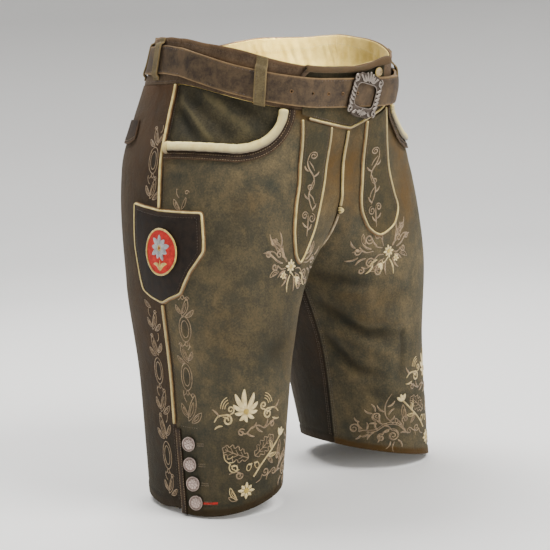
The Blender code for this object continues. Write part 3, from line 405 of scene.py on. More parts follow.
def tube(path, ups, width, height, sides=8, closed=False):
    # rings of points along a path: an oval, width across and height out, with rounded ends
    path, ups = np.asarray(path, float), np.asarray(ups, float)
    count = len(path)
    width, height = (np.broadcast_to(v, count) for v in (width, height))
    ahead = np.roll(path, -1, axis=0) - np.roll(path, 1, axis=0) if closed else np.gradient(path, axis=0)
    ahead /= np.linalg.norm(ahead, axis=1, keepdims=True) + 1e-12
    if not closed:
        turns = np.linspace(math.pi / 2, math.pi / 8, 3)
        back = (1 - np.sin(turns))[:, None]
        start = path[0] + ahead[0] * min(width[0], height[0], 0.004) / 2 * back
        stop = path[-1] - ahead[-1] * min(width[-1], height[-1], 0.004) / 2 * back[::-1]
        inner = slice(1, -1)
        path = np.concatenate([start, path[inner], stop])
        ahead = np.concatenate([ahead[:1]] * 3 + [ahead[inner]] + [ahead[-1:]] * 3)
        ups = np.concatenate([ups[:1]] * 3 + [ups[inner]] + [ups[-1:]] * 3)
        taper = np.cos(turns)
        width, height = (
            np.concatenate([v[0] * taper, v[inner], v[-1] * taper[::-1]]) for v in (width, height))
    across = unit(np.cross(ahead, ups))
    rise = np.cross(across, ahead)
    turn = -2 * math.pi * np.arange(sides + 1) / sides
    ring = across[:, None] * (width[:, None, None] / 2 * np.cos(turn)[None, :, None])
    ring = ring + rise[:, None] * (height[:, None, None] / 2 * np.sin(turn)[None, :, None])
    rings = path[:, None] + ring
    return np.concatenate([rings, rings[:1]]) if closed else rings


def addRings(bm, rings):
    rows, columns = rings.shape[:2]
    made = bmesh.ops.create_grid(bm, x_segments=columns - 1, y_segments=rows - 1, size=0.5)["verts"]
    for vert, r, c in zip(made, *gridCells(made, rows, columns)):
        vert.co = rings[r, c]


def tubesPiece(name, tubes, finish, slotName, *stands):
    bm = bmesh.new()
    for rings in tubes:
        addRings(bm, rings)
    bmesh.ops.remove_doubles(bm, verts=bm.verts[:], dist=2e-6)
    bmesh.ops.holes_fill(bm, edges=bm.edges[:], sides=0)
    bmesh.ops.recalc_face_normals(bm, faces=bm.faces[:])
    return finishPiece(linkMesh(name, bm), finish, slotName, *stands)


def softLine(points, count):
    # a smooth line through points, evenly stepped
    points = np.asarray(points, float)
    ends = np.concatenate([[2 * points[0] - points[1]], points, [2 * points[-1] - points[-2]]])
    t = np.linspace(0, 1, 12, endpoint=False)[:, None]
    line = [
        0.5 * (2 * b + (c - a) * t + (2 * a - 5 * b + 4 * c - d) * t**2 + (3 * b - a - 3 * c + d) * t**3)
        for a, b, c, d in zip(ends, ends[1:], ends[2:], ends[3:])]
    line = np.concatenate(line + [points[-1:]])
    runs = runsAlong(line)
    return readAlong(np.linspace(0, runs[-1], count), runs, line)


def repeatMesh(name, template, spots):
    # copies of one small mesh; spots are 3x4 tables: three axes and a place
    bm = bmesh.new()
    for _ in spots:
        bm.from_mesh(template)
    made = linkMesh(name, bm)
    base = np.array([v.co for v in template.vertices])
    placed = [base @ np.array(spot[:3]) + np.array(spot[3]) for spot in spots]
    made.data.vertices.foreach_set("co", np.concatenate(placed).ravel())
    made.data.update()
    return made


def stitchSpots(path, ups, pitch, size, tilt=0.0):
    # short oval stitches along a line; size is length, width, height
    runs = runsAlong(path)
    count = max(int(runs[-1] / pitch), 1)
    here = (np.arange(count) + 0.5) * runs[-1] / count
    later, before = np.minimum(here + 0.0005, runs[-1]), np.maximum(here - 0.0005, 0)
    ahead = unit(readAlong(later, runs, path) - readAlong(before, runs, path))
    across = unit(np.cross(readAlong(here, runs, ups), ahead))
    up = np.cross(ahead, across)
    turned = ahead * math.cos(tilt) + across * math.sin(tilt)
    beside = np.cross(up, turned)
    return list(zip(turned * size[0], beside * size[1], up * size[2], readAlong(here, runs, path)))


stitchBall = bmesh.new()
bmesh.ops.create_uvsphere(stitchBall, u_segments=6, v_segments=4, radius=0.5)
stitchMesh = meshFrom("stitch", stitchBall)
print("tools ready")


def noise(tree, spot, scale, detail, roughness, distortion=0.0):
    return addNode(tree, "TexNoise", {
        "Vector": spot, "Scale": scale, "Detail": detail, "Roughness": roughness,
        "Distortion": distortion}).outputs["Fac"]


def reckon(tree, operation, *values, clamp=False):
    return addNode(tree, "Math", dict(enumerate(values)), operation=operation, use_clamp=clamp).outputs[0]


def ramp(tree, value, *stops):
    return addNode(tree, "ValToRGB", {"Fac": value}, stops).outputs["Color"]


def blend(tree, share, colour, other):
    inputs = {0: share, 6: colour, 7: linearColour(other)}
    return addNode(tree, "Mix", inputs, data_type="RGBA").outputs[2]


def rescale(tree, value, low, high, newLow=0.0, newHigh=1.0):
    return addNode(tree, "MapRange", {
        "Value": value, "From Min": low, "From Max": high, "To Min": newLow, "To Max": newHigh}).outputs[0]


def readMark(tree, name):
    return addNode(tree, "Attribute", attribute_name=name).outputs["Fac"]


def readHeight(tree, spot):
    return addNode(tree, "SeparateXYZ", {"Vector": spot}).outputs["Z"]


def bumps(tree, *layers):
    # each layer: height, strength and depth in metres, one over the other
    normal = None
    for height, strength, depth in layers:
        inputs = {"Height": height, "Strength": strength, "Distance": depth}
        if normal:
            inputs["Normal"] = normal
        normal = addNode(tree, "Bump", inputs).outputs[0]
    return normal


def wire(tree, shader, **sockets):
    for name, value in sockets.items():
        tree.links.new(value, shader.inputs[name.replace("_", " ")])


def suedeFinish(name, dark, mid, light, wornAndLitColour, crumple=1.0):
    # brushed, mottled leather; one mesh mark gives brown wear and painted highlight on ridges, the other dark
    # stains and painted shade
    made, tree, shader, spot = newMaterial(
        name, Roughness=0.88, Specular_IOR_Level=0.22, Sheen_Weight=0.12, Sheen_Roughness=0.45,
        Sheen_Tint=linearColour("#b3a68c"))
    # blotches of 45 mm, stains of 16 mm, drawn streaks of 7 by 20 mm and speckle of 2 mm
    stain = noise(tree, spot, 62.0, 5.0, 0.62, 0.3)
    speck = noise(tree, spot, 480.0, 3.0, 0.75)
    drawn = addNode(tree, "Mapping", {"Vector": spot, "Scale": (1.0, 1.0, 0.35)}).outputs["Vector"]
    tone = 0.0
    for layer, weight in (
            (noise(tree, spot, 22.0, 4.0, 0.6, 0.5), 0.36), (stain, 0.3),
            (noise(tree, drawn, 150.0, 3.0, 0.6), 0.12), (speck, 0.36)):
        tone = reckon(tree, "MULTIPLY_ADD", layer, weight, tone)
    base = ramp(tree, tone, (0.4, dark), (0.55, mid), (0.72, light))
    # worn brown, and lighter as painted highlight on crease ridges, where the mark says so, broken up by the
    # stains
    rub = readMark(tree, "rub")
    ragged = reckon(tree, "ADD", rub, reckon(tree, "MULTIPLY_ADD", stain, 1.5, -0.62))
    wornAndLit = blend(tree, reckon(tree, "MULTIPLY", ragged, rub, clamp=True), base, wornAndLitColour)
    # the dark mark, stains and painted shade, blends towards near black; nap of half a millimetre over soft
    # crumples of 8 to 20 mm
    wire(
        tree, shader, Base_Color=blend(tree, readMark(tree, "deep"), wornAndLit, "#15160f"),
        Roughness=rescale(tree, stain, 0.3, 0.7, 0.78, 0.96),
        Normal=bumps(
            tree, (stain, 0.3 * crumple, 0.004), (speck, 0.35 * crumple, 0.0012),
            (noise(tree, spot, 1300.0, 2.0, 0.7), 0.5, 0.0004)))
    return made


def smoothFinish(name, dark, light, edge, roughness, scale, bump=0.35, specular=0.35, underShade=None):
    # grained leather or horn; the mark edge shows where it is cut or bent, and where a shade colour is given,
    # faces turned down are painted darker as shade
    made, tree, shader, spot = newMaterial(name, Roughness=roughness, Specular_IOR_Level=specular)
    blotch = noise(tree, spot, scale, 5.0, 0.65, 0.4)
    # pores of 1 mm
    pores = addNode(tree, "TexVoronoi", {"Vector": spot, "Scale": 900.0}).outputs["Distance"]
    tone = reckon(tree, "MULTIPLY_ADD", noise(tree, spot, scale * 7, 3.0, 0.65), 0.3, blotch)
    broken = reckon(tree, "MULTIPLY", readMark(tree, "edge"), tone, clamp=True)
    colour = blend(tree, broken, ramp(tree, tone, (0.5, dark), (0.8, light)), edge)
    if underShade:
        # painted shade: the more a face turns down, the more it takes the shade colour
        outward = addNode(tree, "NewGeometry").outputs["Normal"]
        colour = blend(tree, rescale(tree, readHeight(tree, outward), 0.3, -0.5), colour, underShade)
    wire(
        tree, shader, Base_Color=colour,
        Roughness=rescale(tree, blotch, 0.3, 0.7, roughness - 0.08, roughness + 0.1),
        Normal=bumps(tree, (blotch, bump, 0.0015), (pores, bump, 0.0004)))
    return made


def threadFinish(name, dark, light, roughness=0.55, sheen=0.3):
    # twisted thread: fine ridges and a slightly uneven dye
    made, tree, shader, spot = newMaterial(
        name, Roughness=roughness, Specular_IOR_Level=0.4, Sheen_Weight=sheen)
    # ridges are drawn at 0.7 mm, coarser than the real twist, which is too fine to show
    ridge = addNode(tree, "TexWave", {
        "Vector": spot, "Scale": 230.0, "Distortion": 1.5, "Detail": 1.0}, bands_direction="DIAGONAL")
    wire(
        tree, shader, Base_Color=ramp(tree, noise(tree, spot, 180.0, 4.0, 0.7), (0.35, dark), (0.65, light)),
        Normal=bumps(tree, (ridge.outputs["Fac"], 0.5, 0.0003)))
    return made


def metalFinish(name, hollows, dark, light, roughness, uneven=0.22):
    # cast white metal, blackened in its hollows and rubbed bright on its heights
    made, tree, shader, spot = newMaterial(name, Roughness=roughness, Metallic=1.0)
    patina = noise(tree, spot, 420.0, 5.0, 0.7)
    hollow = addNode(tree, "AmbientOcclusion", {"Distance": 0.0026}, samples=8).outputs["AO"]
    exposed = reckon(tree, "MULTIPLY_ADD", patina, uneven, hollow)
    wire(
        tree, shader, Base_Color=ramp(tree, exposed, (0.4, hollows), (0.78, dark), (1.0, light)),
        Roughness=rescale(tree, patina, 0.0, 1.0, roughness - 0.06, roughness + 0.14),
        Normal=bumps(tree, (patina, 0.7 * uneven, 0.0003)))
    return made


def clothFinish(name, dark, light):
    # plain woven cotton: threads of 0.8 mm along the sheet's own map
    made, tree, shader, spot = newMaterial(name, Roughness=0.9, Specular_IOR_Level=0.2, Sheen_Weight=0.2)
    uv = addNode(tree, "TexCoord").outputs["UV"]
    warp, weft = (addNode(tree, "TexWave", {
        "Vector": uv, "Scale": 400.0, "Distortion": 0.4}, bands_direction=way).outputs["Fac"] for way in "XY")
    weave = reckon(tree, "MULTIPLY", warp, weft)
    tone = reckon(tree, "MULTIPLY_ADD", weave, 0.25, noise(tree, spot, 60.0, 5.0, 0.6))
    wire(
        tree, shader, Base_Color=ramp(tree, tone, (0.4, dark), (0.66, light)),
        Normal=bumps(tree, (weave, 0.35, 0.0003)))
    return made


# deerskin, dyed olive brown and rubbed back by hand
legSuede = suedeFinish("oliveSuede", "#2b312a", "#4b4535", "#726448", "#59401b")
# the skin of the sides and back, sat on and browner, and darker, partly as painted shade on the sides turned
# from the light
backSuede = suedeFinish("backSuede", "#1f1710", "#32271c", "#483829", "#4b331f")
# the same skin in the pocket, bluer, and darkened as painted shade out of the light; its last colour is a
# painted highlight for the fold ridges
facingSuede = suedeFinish("pocketSuede", "#20241d", "#393528", "#574e38", "#7d7250")
# waistband, handled until it is brown
waistSuede = suedeFinish("waistSuede", "#33291f", "#4e3f31", "#6b5946", "#755a3e", 0.7)
# belt loops, cut from the olive skin
loopSuede = suedeFinish("loopSuede", "#3a3526", "#5a4f38", "#74674a", "#8a7650", 0.6)
# drop flap and tongues, thinner and darker
flapSuede = suedeFinish("flapSuede", "#222419", "#3a3626", "#584b32", "#54432f", 0.7)
# belt leather, oiled and worn pale along its edges
beltLeather = smoothFinish("beltLeather", "#332920", "#5b4a36", "#9a7d56", 0.58, 55.0, specular=0.25)
# dark trim leather of the welts, slit bands and back flap
darkLeather = smoothFinish("darkTrimLeather", "#231a13", "#3d2f22", "#5b4632", 0.68, 90.0, specular=0.2)
# the knife pocket's smooth black-brown leather
pouchLeather = smoothFinish("pouchLeather", "#17120f", "#2b221b", "#4b3a2a", 0.66, 120.0, specular=0.2)
# undyed piping leather, its downward faces painted darker as shade
pipingLeather = smoothFinish(
    "pipingLeather", "#c8af69", "#f5e095", "#8a6a3d", 0.55, 110.0, bump=0.1, underShade="#8b7b60")
# the same leather on the pocket rolls, cleaner, their downward faces painted greyer as shade
rollLeather = smoothFinish(
    "rollLeather", "#f3da8a", "#fff1a8", "#8a6a3d", 0.5, 60.0, bump=0.06, underShade="#776d5b")
# the same leather at the crotch, worn brown
soiledPiping = smoothFinish("soiledPiping", "#7f6d54", "#b3a181", "#8a6a3d", 0.6, 110.0, bump=0.1)
# tan leather lip under each cord
pipingLip = smoothFinish("pipingLip", "#5a432d", "#8a6b49", "#a8834f", 0.75, 150.0, specular=0.2)
# cotton lining of the waistband
liningCotton = clothFinish("liningCotton", "#dbba5a", "#f2d67a")
# embroidery silk, cream where new and dull where it is worn
creamSilk = threadFinish("creamSilk", "#a38b59", "#dac38a", sheen=0.25)
satinSilk = threadFinish("satinSilk", "#cfb87e", "#f1dca6", sheen=0.2)
dullSilk = threadFinish("dullSilk", "#6d5941", "#a58b67")
# sewing thread
brownThread = threadFinish("brownThread", "#2a1d12", "#4b3622")
paleThread = threadFinish("paleThread", "#6f5d42", "#a08a64")
tanThread = threadFinish("tanThread", "#4a3c2a", "#7a684a")
# badge threads
redThread = threadFinish("redThread", "#a01208", "#d6281a", roughness=0.7, sheen=0.05)
goldThread = threadFinish("goldThread", "#a8862c", "#dcc05a", sheen=0.6)
silverThread = threadFinish("silverThread", "#7d7f80", "#b4b6b8", sheen=0.6)
# the buckle's ornament, old silver
oldSilver = metalFinish("oldSilver", "#1a1512", "#585049", "#978d84", 0.36)
# the buckle's plate, blackened behind its ornament
blackSilver = metalFinish("blackSilver", "#0d0a08", "#2f2823", "#5a514a", 0.48)
# coin buttons, handled smooth
coinSilver = metalFinish("coinSilver", "#3a2e29", "#94827a", "#b9a79e", 0.33, uneven=0.04)
# horn button
hornFinish = smoothFinish("hornButton", "#6a5432", "#c9b184", "#e0cfa4", 0.35, 160.0, bump=0.1)
print("finishes mixed")


# leather of the legs
gap = dict(seam=0.0003, lay=0.0006, trim=0.0011, inside=0.0009)
leather = dict(suede=0.002, lining=0.001, hemTurn=0.0012, hemHeight=0.022, hipLevel=-0.11)
pocket = dict(
    start=0.412, flat=0.66, flatZ=-0.084, sideZ=-0.0915, curve=2.2,
    rollWidth=0.0104, rollHeight=0.006, weltWidth=0.0088, weltThick=0.0012, tuck=0.012,
)
# brown rubbed places: side (0 is both), around, height, reach along and down, strength
rubbedSpots = (
    (-1, 0.1, -0.11, 0.16, 0.08, 0.8), (1, 0.06, -0.12, 0.1, 0.08, 0.8), (-1, 0.3, -0.04, 0.12, 0.02, 0.3),
    (1, 0.42, -0.06, 0.2, 0.05, 0.6), (1, 0.5, -0.17, 0.16, 0.05, 0.45),
    (-1, 0.55, -0.16, 0.12, 0.03, 0.35), (-1, 0.35, -0.33, 0.14, 0.03, 0.4),
    (-1, 0.7, -0.29, 0.14, 0.06, 0.3), (1, 0.3, -0.29, 0.2, 0.03, 0.35), (0, 1.2, -0.07, 0.24, 0.08, 0.75),
    (0, 1.2, -0.3, 0.22, 0.12, 0.45), (0, 1.7, -0.15, 0.25, 0.06, 0.5), (1, 0.5, -0.125, 0.12, 0.09, 0.42),
)
# darker places: dark patches in the skin, and painted shade on the backs and inner sides of the legs
deepSpots = (
    (-1, 0.75, -0.2, 0.2, 0.05, 0.4), (-1, 0.4, -0.25, 0.2, 0.06, 0.3), (-1, 0.08, -0.3, 0.12, 0.05, 0.35),
    (1, 0.18, -0.3, 0.2, 0.07, 0.14), (1, 0.55, -0.345, 0.16, 0.03, 0.2),
    (1, 0.7, -0.42, 0.14, 0.05, 0.25), (-1, 0.5, -0.31, 0.2, 0.045, 0.35),
    (0, 1.25, -0.12, 0.3, 0.16, 0.3), (0, 1.25, -0.38, 0.3, 0.1, 0.35),
    (-1, 0.62, -0.415, 0.12, 0.03, 0.3), (1, 0.62, -0.415, 0.12, 0.03, 0.16),
    (0, 0.94, -0.44, 0.06, 0.06, 0.4), (0, 1.85, -0.38, 0.12, 0.12, 0.45),
    (0, 1.6, -0.26, 0.3, 0.04, 0.35),
)


def roundTurns(count):
    return np.linspace(0, 2 * math.pi, count, endpoint=False)


def spotMark(spots, side, around, z):
    return sum(
        strength * hump(around - at, reach) * hump(z - height, tall)
        for where, at, height, reach, tall, strength in spots if where != -side)


def pocketZ(around):
    # height of the pocket mouth at a place around the front
    around = np.asarray(around, float)
    flat, flatZ = pocket["flat"], pocket["flatZ"]
    even = flatZ + (pocket["sideZ"] - flatZ) * (around - flat) / (1 - flat)
    share = np.clip((flat - around) / (flat - pocket["start"]), 0, 1)
    cosine = share ** (pocket["curve"] / 2)
    sine = np.sqrt(1 - cosine**2) ** (2 / pocket["curve"])
    bend = level["bandSeam"] + (flatZ - level["bandSeam"]) * sine
    return np.where(around >= flat, even, bend)


def mouthBend(count):
    # the rounded front end of the pocket mouth
    turns, power = np.linspace(0, math.pi / 2, count, endpoint=False), 2 / pocket["curve"]
    around = pocket["flat"] - (pocket["flat"] - pocket["start"]) * np.cos(turns) ** power
    return around, level["bandSeam"] + (pocket["flatZ"] - level["bandSeam"]) * np.sin(turns) ** power


def hemZ(around, half):
    # the lower edge; the back is cut a little higher beside the slit
    return level["hem"] + half * 0.004 * ease((1.14 - around) / 0.12)


def trimmedAround(around, z, half):
    # kept half a seam gap off the edges of the front (half 0) or the back (half 1)
    edge = gap["seam"] / 2 / runLength(half + 0.5, z)
    return np.clip(around, half + edge, half + 1 - edge)


def seamDip(distance, run):
    # the leather sinks and puckers a little along a sewn edge
    pucker = np.sin(run * 2 * math.pi / 0.0085 + 2 * np.sin(run * 31))
    return 0.00022 * pucker * hump(distance - 0.004, 0.004) - 0.0008 * hump(distance, 0.0022)


# height of each oval and each spray of leaves along the outseam, ahead of it and behind it
chains = dict(
    front=dict(
        reach=((-0.5, 0.027), (-0.395, 0.027), (-0.34, 0.0245), (-0.29, 0.03), (-0.24, 0.03), (-0.13, 0.034)),
        ovals=(-0.184, -0.239, -0.2925, -0.346),
        leaves=(
            (-0.15, 1, 1), (-0.212, -1, 0.9), (-0.2665, 1, 0.85), (-0.3195, -1, 0.85), (-0.3775, 1, 1.15))),
    back=dict(
        reach=(
            (-0.5, -0.019), (-0.43, -0.0215), (-0.344, -0.0255), (-0.262, -0.0245), (-0.15, -0.018),
            (-0.06, -0.0155)),
        ovals=(-0.105, -0.165, -0.225, -0.344, -0.434),
        leaves=(
            (-0.078, -1, 0.8), (-0.135, 1, 0.95), (-0.195, -1, 0.9), (-0.258, -1, 0.9), (-0.285, 1, 0.9),
            (-0.314, -1, 0.95), (-0.376, 1, 1), (-0.403, -1, 1), (-0.464, 1, 0.85))))


def chainReach(chain, z):
    return float(np.interp(z, *np.array(chain["reach"]).T))


def legPanel(part, word, side, half):
    near, rest = np.array([0, 0.004, 0.008, 0.013, 0.019, 0.026]), np.linspace(0.036, 0.974, 84)
    if half == 0:
        rest = np.concatenate([np.linspace(0.036, 0.4, 34), mouthBend(22)[0], np.linspace(0.66, 0.974, 28)])
    around = np.concatenate([near, rest, 1 - near[::-1]])
    around = 2 - around if half else around
    top = level["bandSeam"] - gap["seam"]
    top = np.where((around < pocket["start"]) | (half > 0), top, pocketZ(around))
    bottom = hemZ(around, half)
    z = np.concatenate([
        top + (leather["hipLevel"] - top) * evenly(26)[:, None],
        np.repeat(np.linspace(leather["hipLevel"], level["crotch"], 56)[1:, None], len(around), 1),
        level["crotch"] + (bottom - level["crotch"]) * evenly(108)[1:, None]])
    around = trimmedAround(np.broadcast_to(around, z.shape), z, half)
    length = runLength(half + 0.5, z)
    inside, outside = np.abs(around - 2 * half) * length, np.abs(around - 1) * length
    fromHem = z - bottom
    # the turned hem stands a little proud under its stitched line
    hemStep = 0.0005 * ease((0.0106 - fromHem) / 0.001) - 0.0009 * hump(fromHem - 0.0112, 0.0013)
    skin = onSkin(side, around, z, seamDip(inside, z) + seamDip(outside, z) + hemStep)
    hemBand = hump(fromHem**2, 0.0092**2)
    fold = creaseLift(np.full(z.shape, float(side)), placeOn(side, around, z))
    rub = 1.1 * hemBand + 0.12 * hump(inside, 0.006) + 0.35 * hump(outside, 0.007)
    rub = rub + 0.55 * hump(z - level["bandSeam"], 0.014) + spotMark(rubbedSpots, side, around, z)
    # painted shade darkens each leg towards its hem, the backs most and the far leg's front least
    hemShade = 0.62 if half else 0.5 if side < 0 else 0.12
    # painted shade in the crease troughs, with the darker places and a dark line along the inseam
    deep = spotMark(deepSpots, side, around, z) + np.clip(-fold * 190, 0, 0.6) + 0.45 * hump(inside, 0.0016)
    deep = deep + hemShade * ease((level["hem"] + 0.13 - z) / 0.13) + 0.3 * hemBand
    # burnished inside each oval of the chains
    for chain in chains.values():
        for high in chain["ovals"]:
            aside = outside * (1 - 2 * half) - chainReach(chain, high)
            deep = deep + 0.45 * hump(aside, 0.005) * hump(z - high, 0.01)
    # two layers thick below the turn of the hem
    thick = leather["suede"] + leather["hemTurn"]
    weights = np.where(z < level["hem"] + leather["hemHeight"] + 0.0015, 1.0, leather["suede"] / thick)
    # the brown mark also lightens the crease ridges, a painted highlight
    sheetPiece(
        "leg" + part + word, skin, backSuede if half else legSuede, "suede", f"{part}_{word}".lower(), thick,
        uv=(around * length, z), weights=weights,
        rub=np.clip(rub + np.clip(fold * 90, 0, 0.2), 0, 1), deep=np.clip(deep, 0, 0.78))


for word, side in hands:
    legPanel("Front", word, side, 0)
    legPanel("Back", word, side, 1)
print("legs cut")


# waistband, lining and pocket facings
def waistEdge(side, around):
    right, left = (smoothRead(waistEdgeTable, column, around) for column in (1, 2))
    return np.where(np.asarray(side) < 0, right, left)


def waistGrid(side, around, half, drop, rows):
    # side, place around, height and share of the way down from the edge to the seam
    top = waistEdge(side, around) - drop
    share = evenly(rows)[:, None]
    z = top + (level["bandSeam"] - top) * share
    side, around, z = np.broadcast_arrays(side, around, z)
    return side, trimmedAround(around, z, half), z, share


ahead, behind = evenly(90), np.linspace(2, 1, 90)
bands = dict(
    Right=(np.full(90, -1.0), ahead, 0), Left=(np.full(90, 1.0), ahead, 0),
    Back=(np.repeat((-1.0, 1.0), (90, 89)), np.concatenate([behind[::-1], behind[1:]]), 1))
for word, places in bands.items():
    side, around, z, share = waistGrid(*places, 0, 26)
    fromTop = z[0] - z
    # the top edge is turned over and stitched, so it swells a little above a shallow line
    lift = 0.0005 * (hump(fromTop - 0.0022, 0.0018) - hump(fromTop - 0.0055, 0.001))
    skin = onSkin(side, around, z, lift - 0.0006 * hump(z - level["bandSeam"], 0.0015))
    rub = np.clip(0.75 * hump(fromTop, 0.004) + 0.5 * hump(fromTop - 0.016, 0.006), 0, 1)
    # painted shade on the band under the belt and just below its lower edge
    sheetPiece(
        "band" + word, skin, waistSuede, "suede", "waistband_" + word.lower(), leather["suede"],
        uv=(around * 0.2, z), rub=rub, deep=0.3 * hump(fromTop - 0.035, 0.012))
    side, around, z, share = waistGrid(*places, 0.0005, 22)
    run = around * runLength(places[2] + 0.5, z)
    # gathers run down the cotton and fade at its top edge
    gather = np.sin(run * 470 + 2.2 * np.sin(run * 61)) * (0.6 + 0.4 * np.sin(run * 93 + 1))
    inward = leather["suede"] + gap["inside"] + 0.0007 * (1 + gather) * ease(share / 0.25)
    sheetPiece(
        "cotton" + word, onSkin(side, around, z, -inward), liningCotton, "lining", "lining_" + word.lower(),
        leather["lining"], rim=0.0003, uv=(run, z))

# ridges across the leather behind the pocket mouth: places, depth outwards and half width in mm
facingFolds = (
    (((0.93, -0.028), (0.62, -0.074)), -6.2, 7.0), (((0.99, -0.042), (0.8, -0.082)), -5.4, 5.6),
    (((0.72, -0.012), (0.44, -0.052)), -5.0, 6.4), (((0.84, -0.022), (0.52, -0.064)), 2.6, 6.0),
    (((0.97, -0.034), (0.72, -0.08)), 2.2, 4.5),
)


def facingPiece(word, side):
    spread = np.linspace(0.385, 1, 60)
    top = level["bandSeam"] - gap["seam"]
    bottom = pocketZ(np.maximum(spread, pocket["start"] + 0.006)) - pocket["tuck"]
    z = top + (bottom - top) * evenly(34)[:, None]
    around = trimmedAround(np.broadcast_to(spread, z.shape), z, 0)
    points, lift = placeOn(side, around, z), 0.0
    for line, depth, width in facingFolds:
        nearest, share = nearLine(points, np.array([placeOn(side, *spot) for spot in line]))
        lift = lift + depth * mm * hump(nearest, width * mm) * np.sin(math.pi * share)
    lift = np.minimum(lift, 0.001)
    skin = onSkin(side, around, z, lift - leather["suede"] - gap["inside"])
    # painted highlight on the ridges of the folds; painted shade in their troughs and along the top under the
    # waistband
    sheetPiece(
        "pocketFacing" + word, skin, facingSuede, "facing", "facing_" + word.lower(), leather["suede"],
        uv=(around * 0.25, z), rub=np.clip(lift * 700, 0, 0.5),
        deep=np.clip(-lift * 160, 0, 0.8) + 0.25 * hump(z - top, 0.01))


for word, side in hands:
    facingPiece(word, side)
print("waist and pockets lined")

piping = dict(radius=0.0014, clear=0.0042, lipWidth=0.0053, lipHeight=0.001)


def pipingPiece(name, side, around, z, node, lay=gap["lay"], closed=False):
    # a cream cord in its brown lip, laid on the leather through the places given
    points, out = onSkin(side, around, z, lay + piping["radius"])
    width = 2 * piping["radius"] * (1 + 0.05 * np.sin(np.arange(len(points)) * 1.7))
    cord = tube(points, out, width, 2 * piping["radius"], 14, closed)
    tubesPiece(name, [cord], pipingLeather, "cream", node)
    foot = points - out * (piping["radius"] * 0.72)
    lip = tube(foot, out, piping["lipWidth"], piping["lipHeight"], 10, closed)
    tubesPiece(name + "Lip", [lip], pipingLip, "brown")


# drop flap and the tongues under it
flap = dict(
    top=0.0325, rise=0.0095, right=-0.0735, left=0.0575, lean=0.17,
    pipingRight=-0.064, pipingLeft=0.0565, pointX=0.002, pointZ=-0.048,
    cornerRight=-0.028, cornerLeft=-0.016, thick=0.0016, curl=0.0029, turn=262.0,
)
# height, then near and far borders of the right and of the left tongue
tongueTable = (
    (-0.044, 0.0285, 0.0722, 0.029, 0.0612), (-0.066, 0.027, 0.0693, 0.031, 0.068),
    (-0.1, 0.027, 0.068, 0.0332, 0.0755), (-0.134, 0.0292, 0.0682, 0.0338, 0.082),
    (-0.16, 0.034, 0.0722, 0.0328, 0.09), (-0.178, 0.0385, 0.0745, 0.0348, 0.0972),
    (-0.192, 0.0429, 0.076, 0.042, 0.094), (-0.202, 0.0475, 0.0758, 0.05, 0.086),
    (-0.21, 0.052, 0.0752, None, None), (-0.221, 0.059, 0.0735, None, None),
)
tongueEnds = dict(Right=(0.0665, -0.229), Left=(0.0665, -0.21))
tongueThick = 0.0015


def flapLineZ(x):
    # height of the line between the flap's pointed edge and the tongues
    x = np.asarray(x, float)
    right = x <= flap["pointX"]
    reach = np.where(right, flap["right"], flap["left"]) - flap["pointX"]
    share = np.clip((x - flap["pointX"]) / reach, 0, 1)
    corner = np.where(right, flap["cornerRight"], flap["cornerLeft"])
    return flap["pointZ"] + (corner - flap["pointZ"]) * share**1.15


def flapColumns(right, left):
    return np.concatenate([np.linspace(right, flap["pointX"], 40), np.linspace(flap["pointX"], left, 34)[1:]])


def flapPiece():
    columns = flapColumns(flap["right"], flap["left"])
    bottom = flapLineZ(columns) + piping["radius"] * 1.15 + gap["lay"]
    middle, reach = gap["lay"] + flap["thick"] / 2, flap["thick"] / 2
    radius = flap["curl"] * (1 + 0.45 * ease((columns - 0.03) / 0.025))
    top = flap["top"] + flap["rise"] * ease(columns / flap["left"])
    flat = evenly(24)[:, None]
    turns = np.linspace(0, math.radians(flap["turn"]), 22)[1:, None]
    soft = 0.0003 * np.sin(columns * 160) * np.sin(flat * 5)
    z = np.concatenate([bottom + (top - bottom) * flat, top + (radius - reach) * np.sin(turns)])
    lift = middle + np.concatenate([reach + soft, radius * (1 - np.cos(turns)) + reach * np.cos(turns)])
    lean = 1 - flap["lean"] * ease((z - flap["cornerLeft"]) / (flap["top"] - flap["cornerLeft"]))
    x = np.broadcast_to(columns, z.shape)
    points, out = onFront(np.where(x < 0, x, x * lean), z, lift)
    # the rolled edge turns over, so only the flat part says which way the sheet faces
    out[24:] = 0
    rolled = np.repeat([0.0, 1.0], (24, 21))[:, None] * np.ones(len(columns))
    # painted shade on the flat of the flap under its rolled edge
    sheetPiece(
        "dropFlap", (points, out), flapSuede, "suede", "flap", flap["thick"], rim=0.0004,
        uv=(x, z), rub=np.clip(0.9 * rolled + 0.5 * hump(z - bottom, 0.006), 0, 1),
        deep=0.35 * (1 - rolled) * ease((z - 0.012) / 0.015))


flapPiece()
flapX = flapColumns(flap["pipingRight"], flap["pipingLeft"])
pipingPiece("flapPiping", *fromMiddle(flapX, flapLineZ(flapX)), "flap_piping")


def tongueBorders(word):
    # near and far borders of a tongue and its end, as signed x and height
    sign, first = (-1, 1) if word == "Right" else (1, 3)
    rows = [row for row in tongueTable if row[first] is not None]
    near = [[sign * row[first], row[0]] for row in rows]
    far = [[sign * row[first + 1], row[0]] for row in rows]
    for line in (near, far):
        line[0][1] = float(flapLineZ(line[0][0])) - piping["clear"]
    end = [sign * tongueEnds[word][0], tongueEnds[word][1]]
    return near, far, end


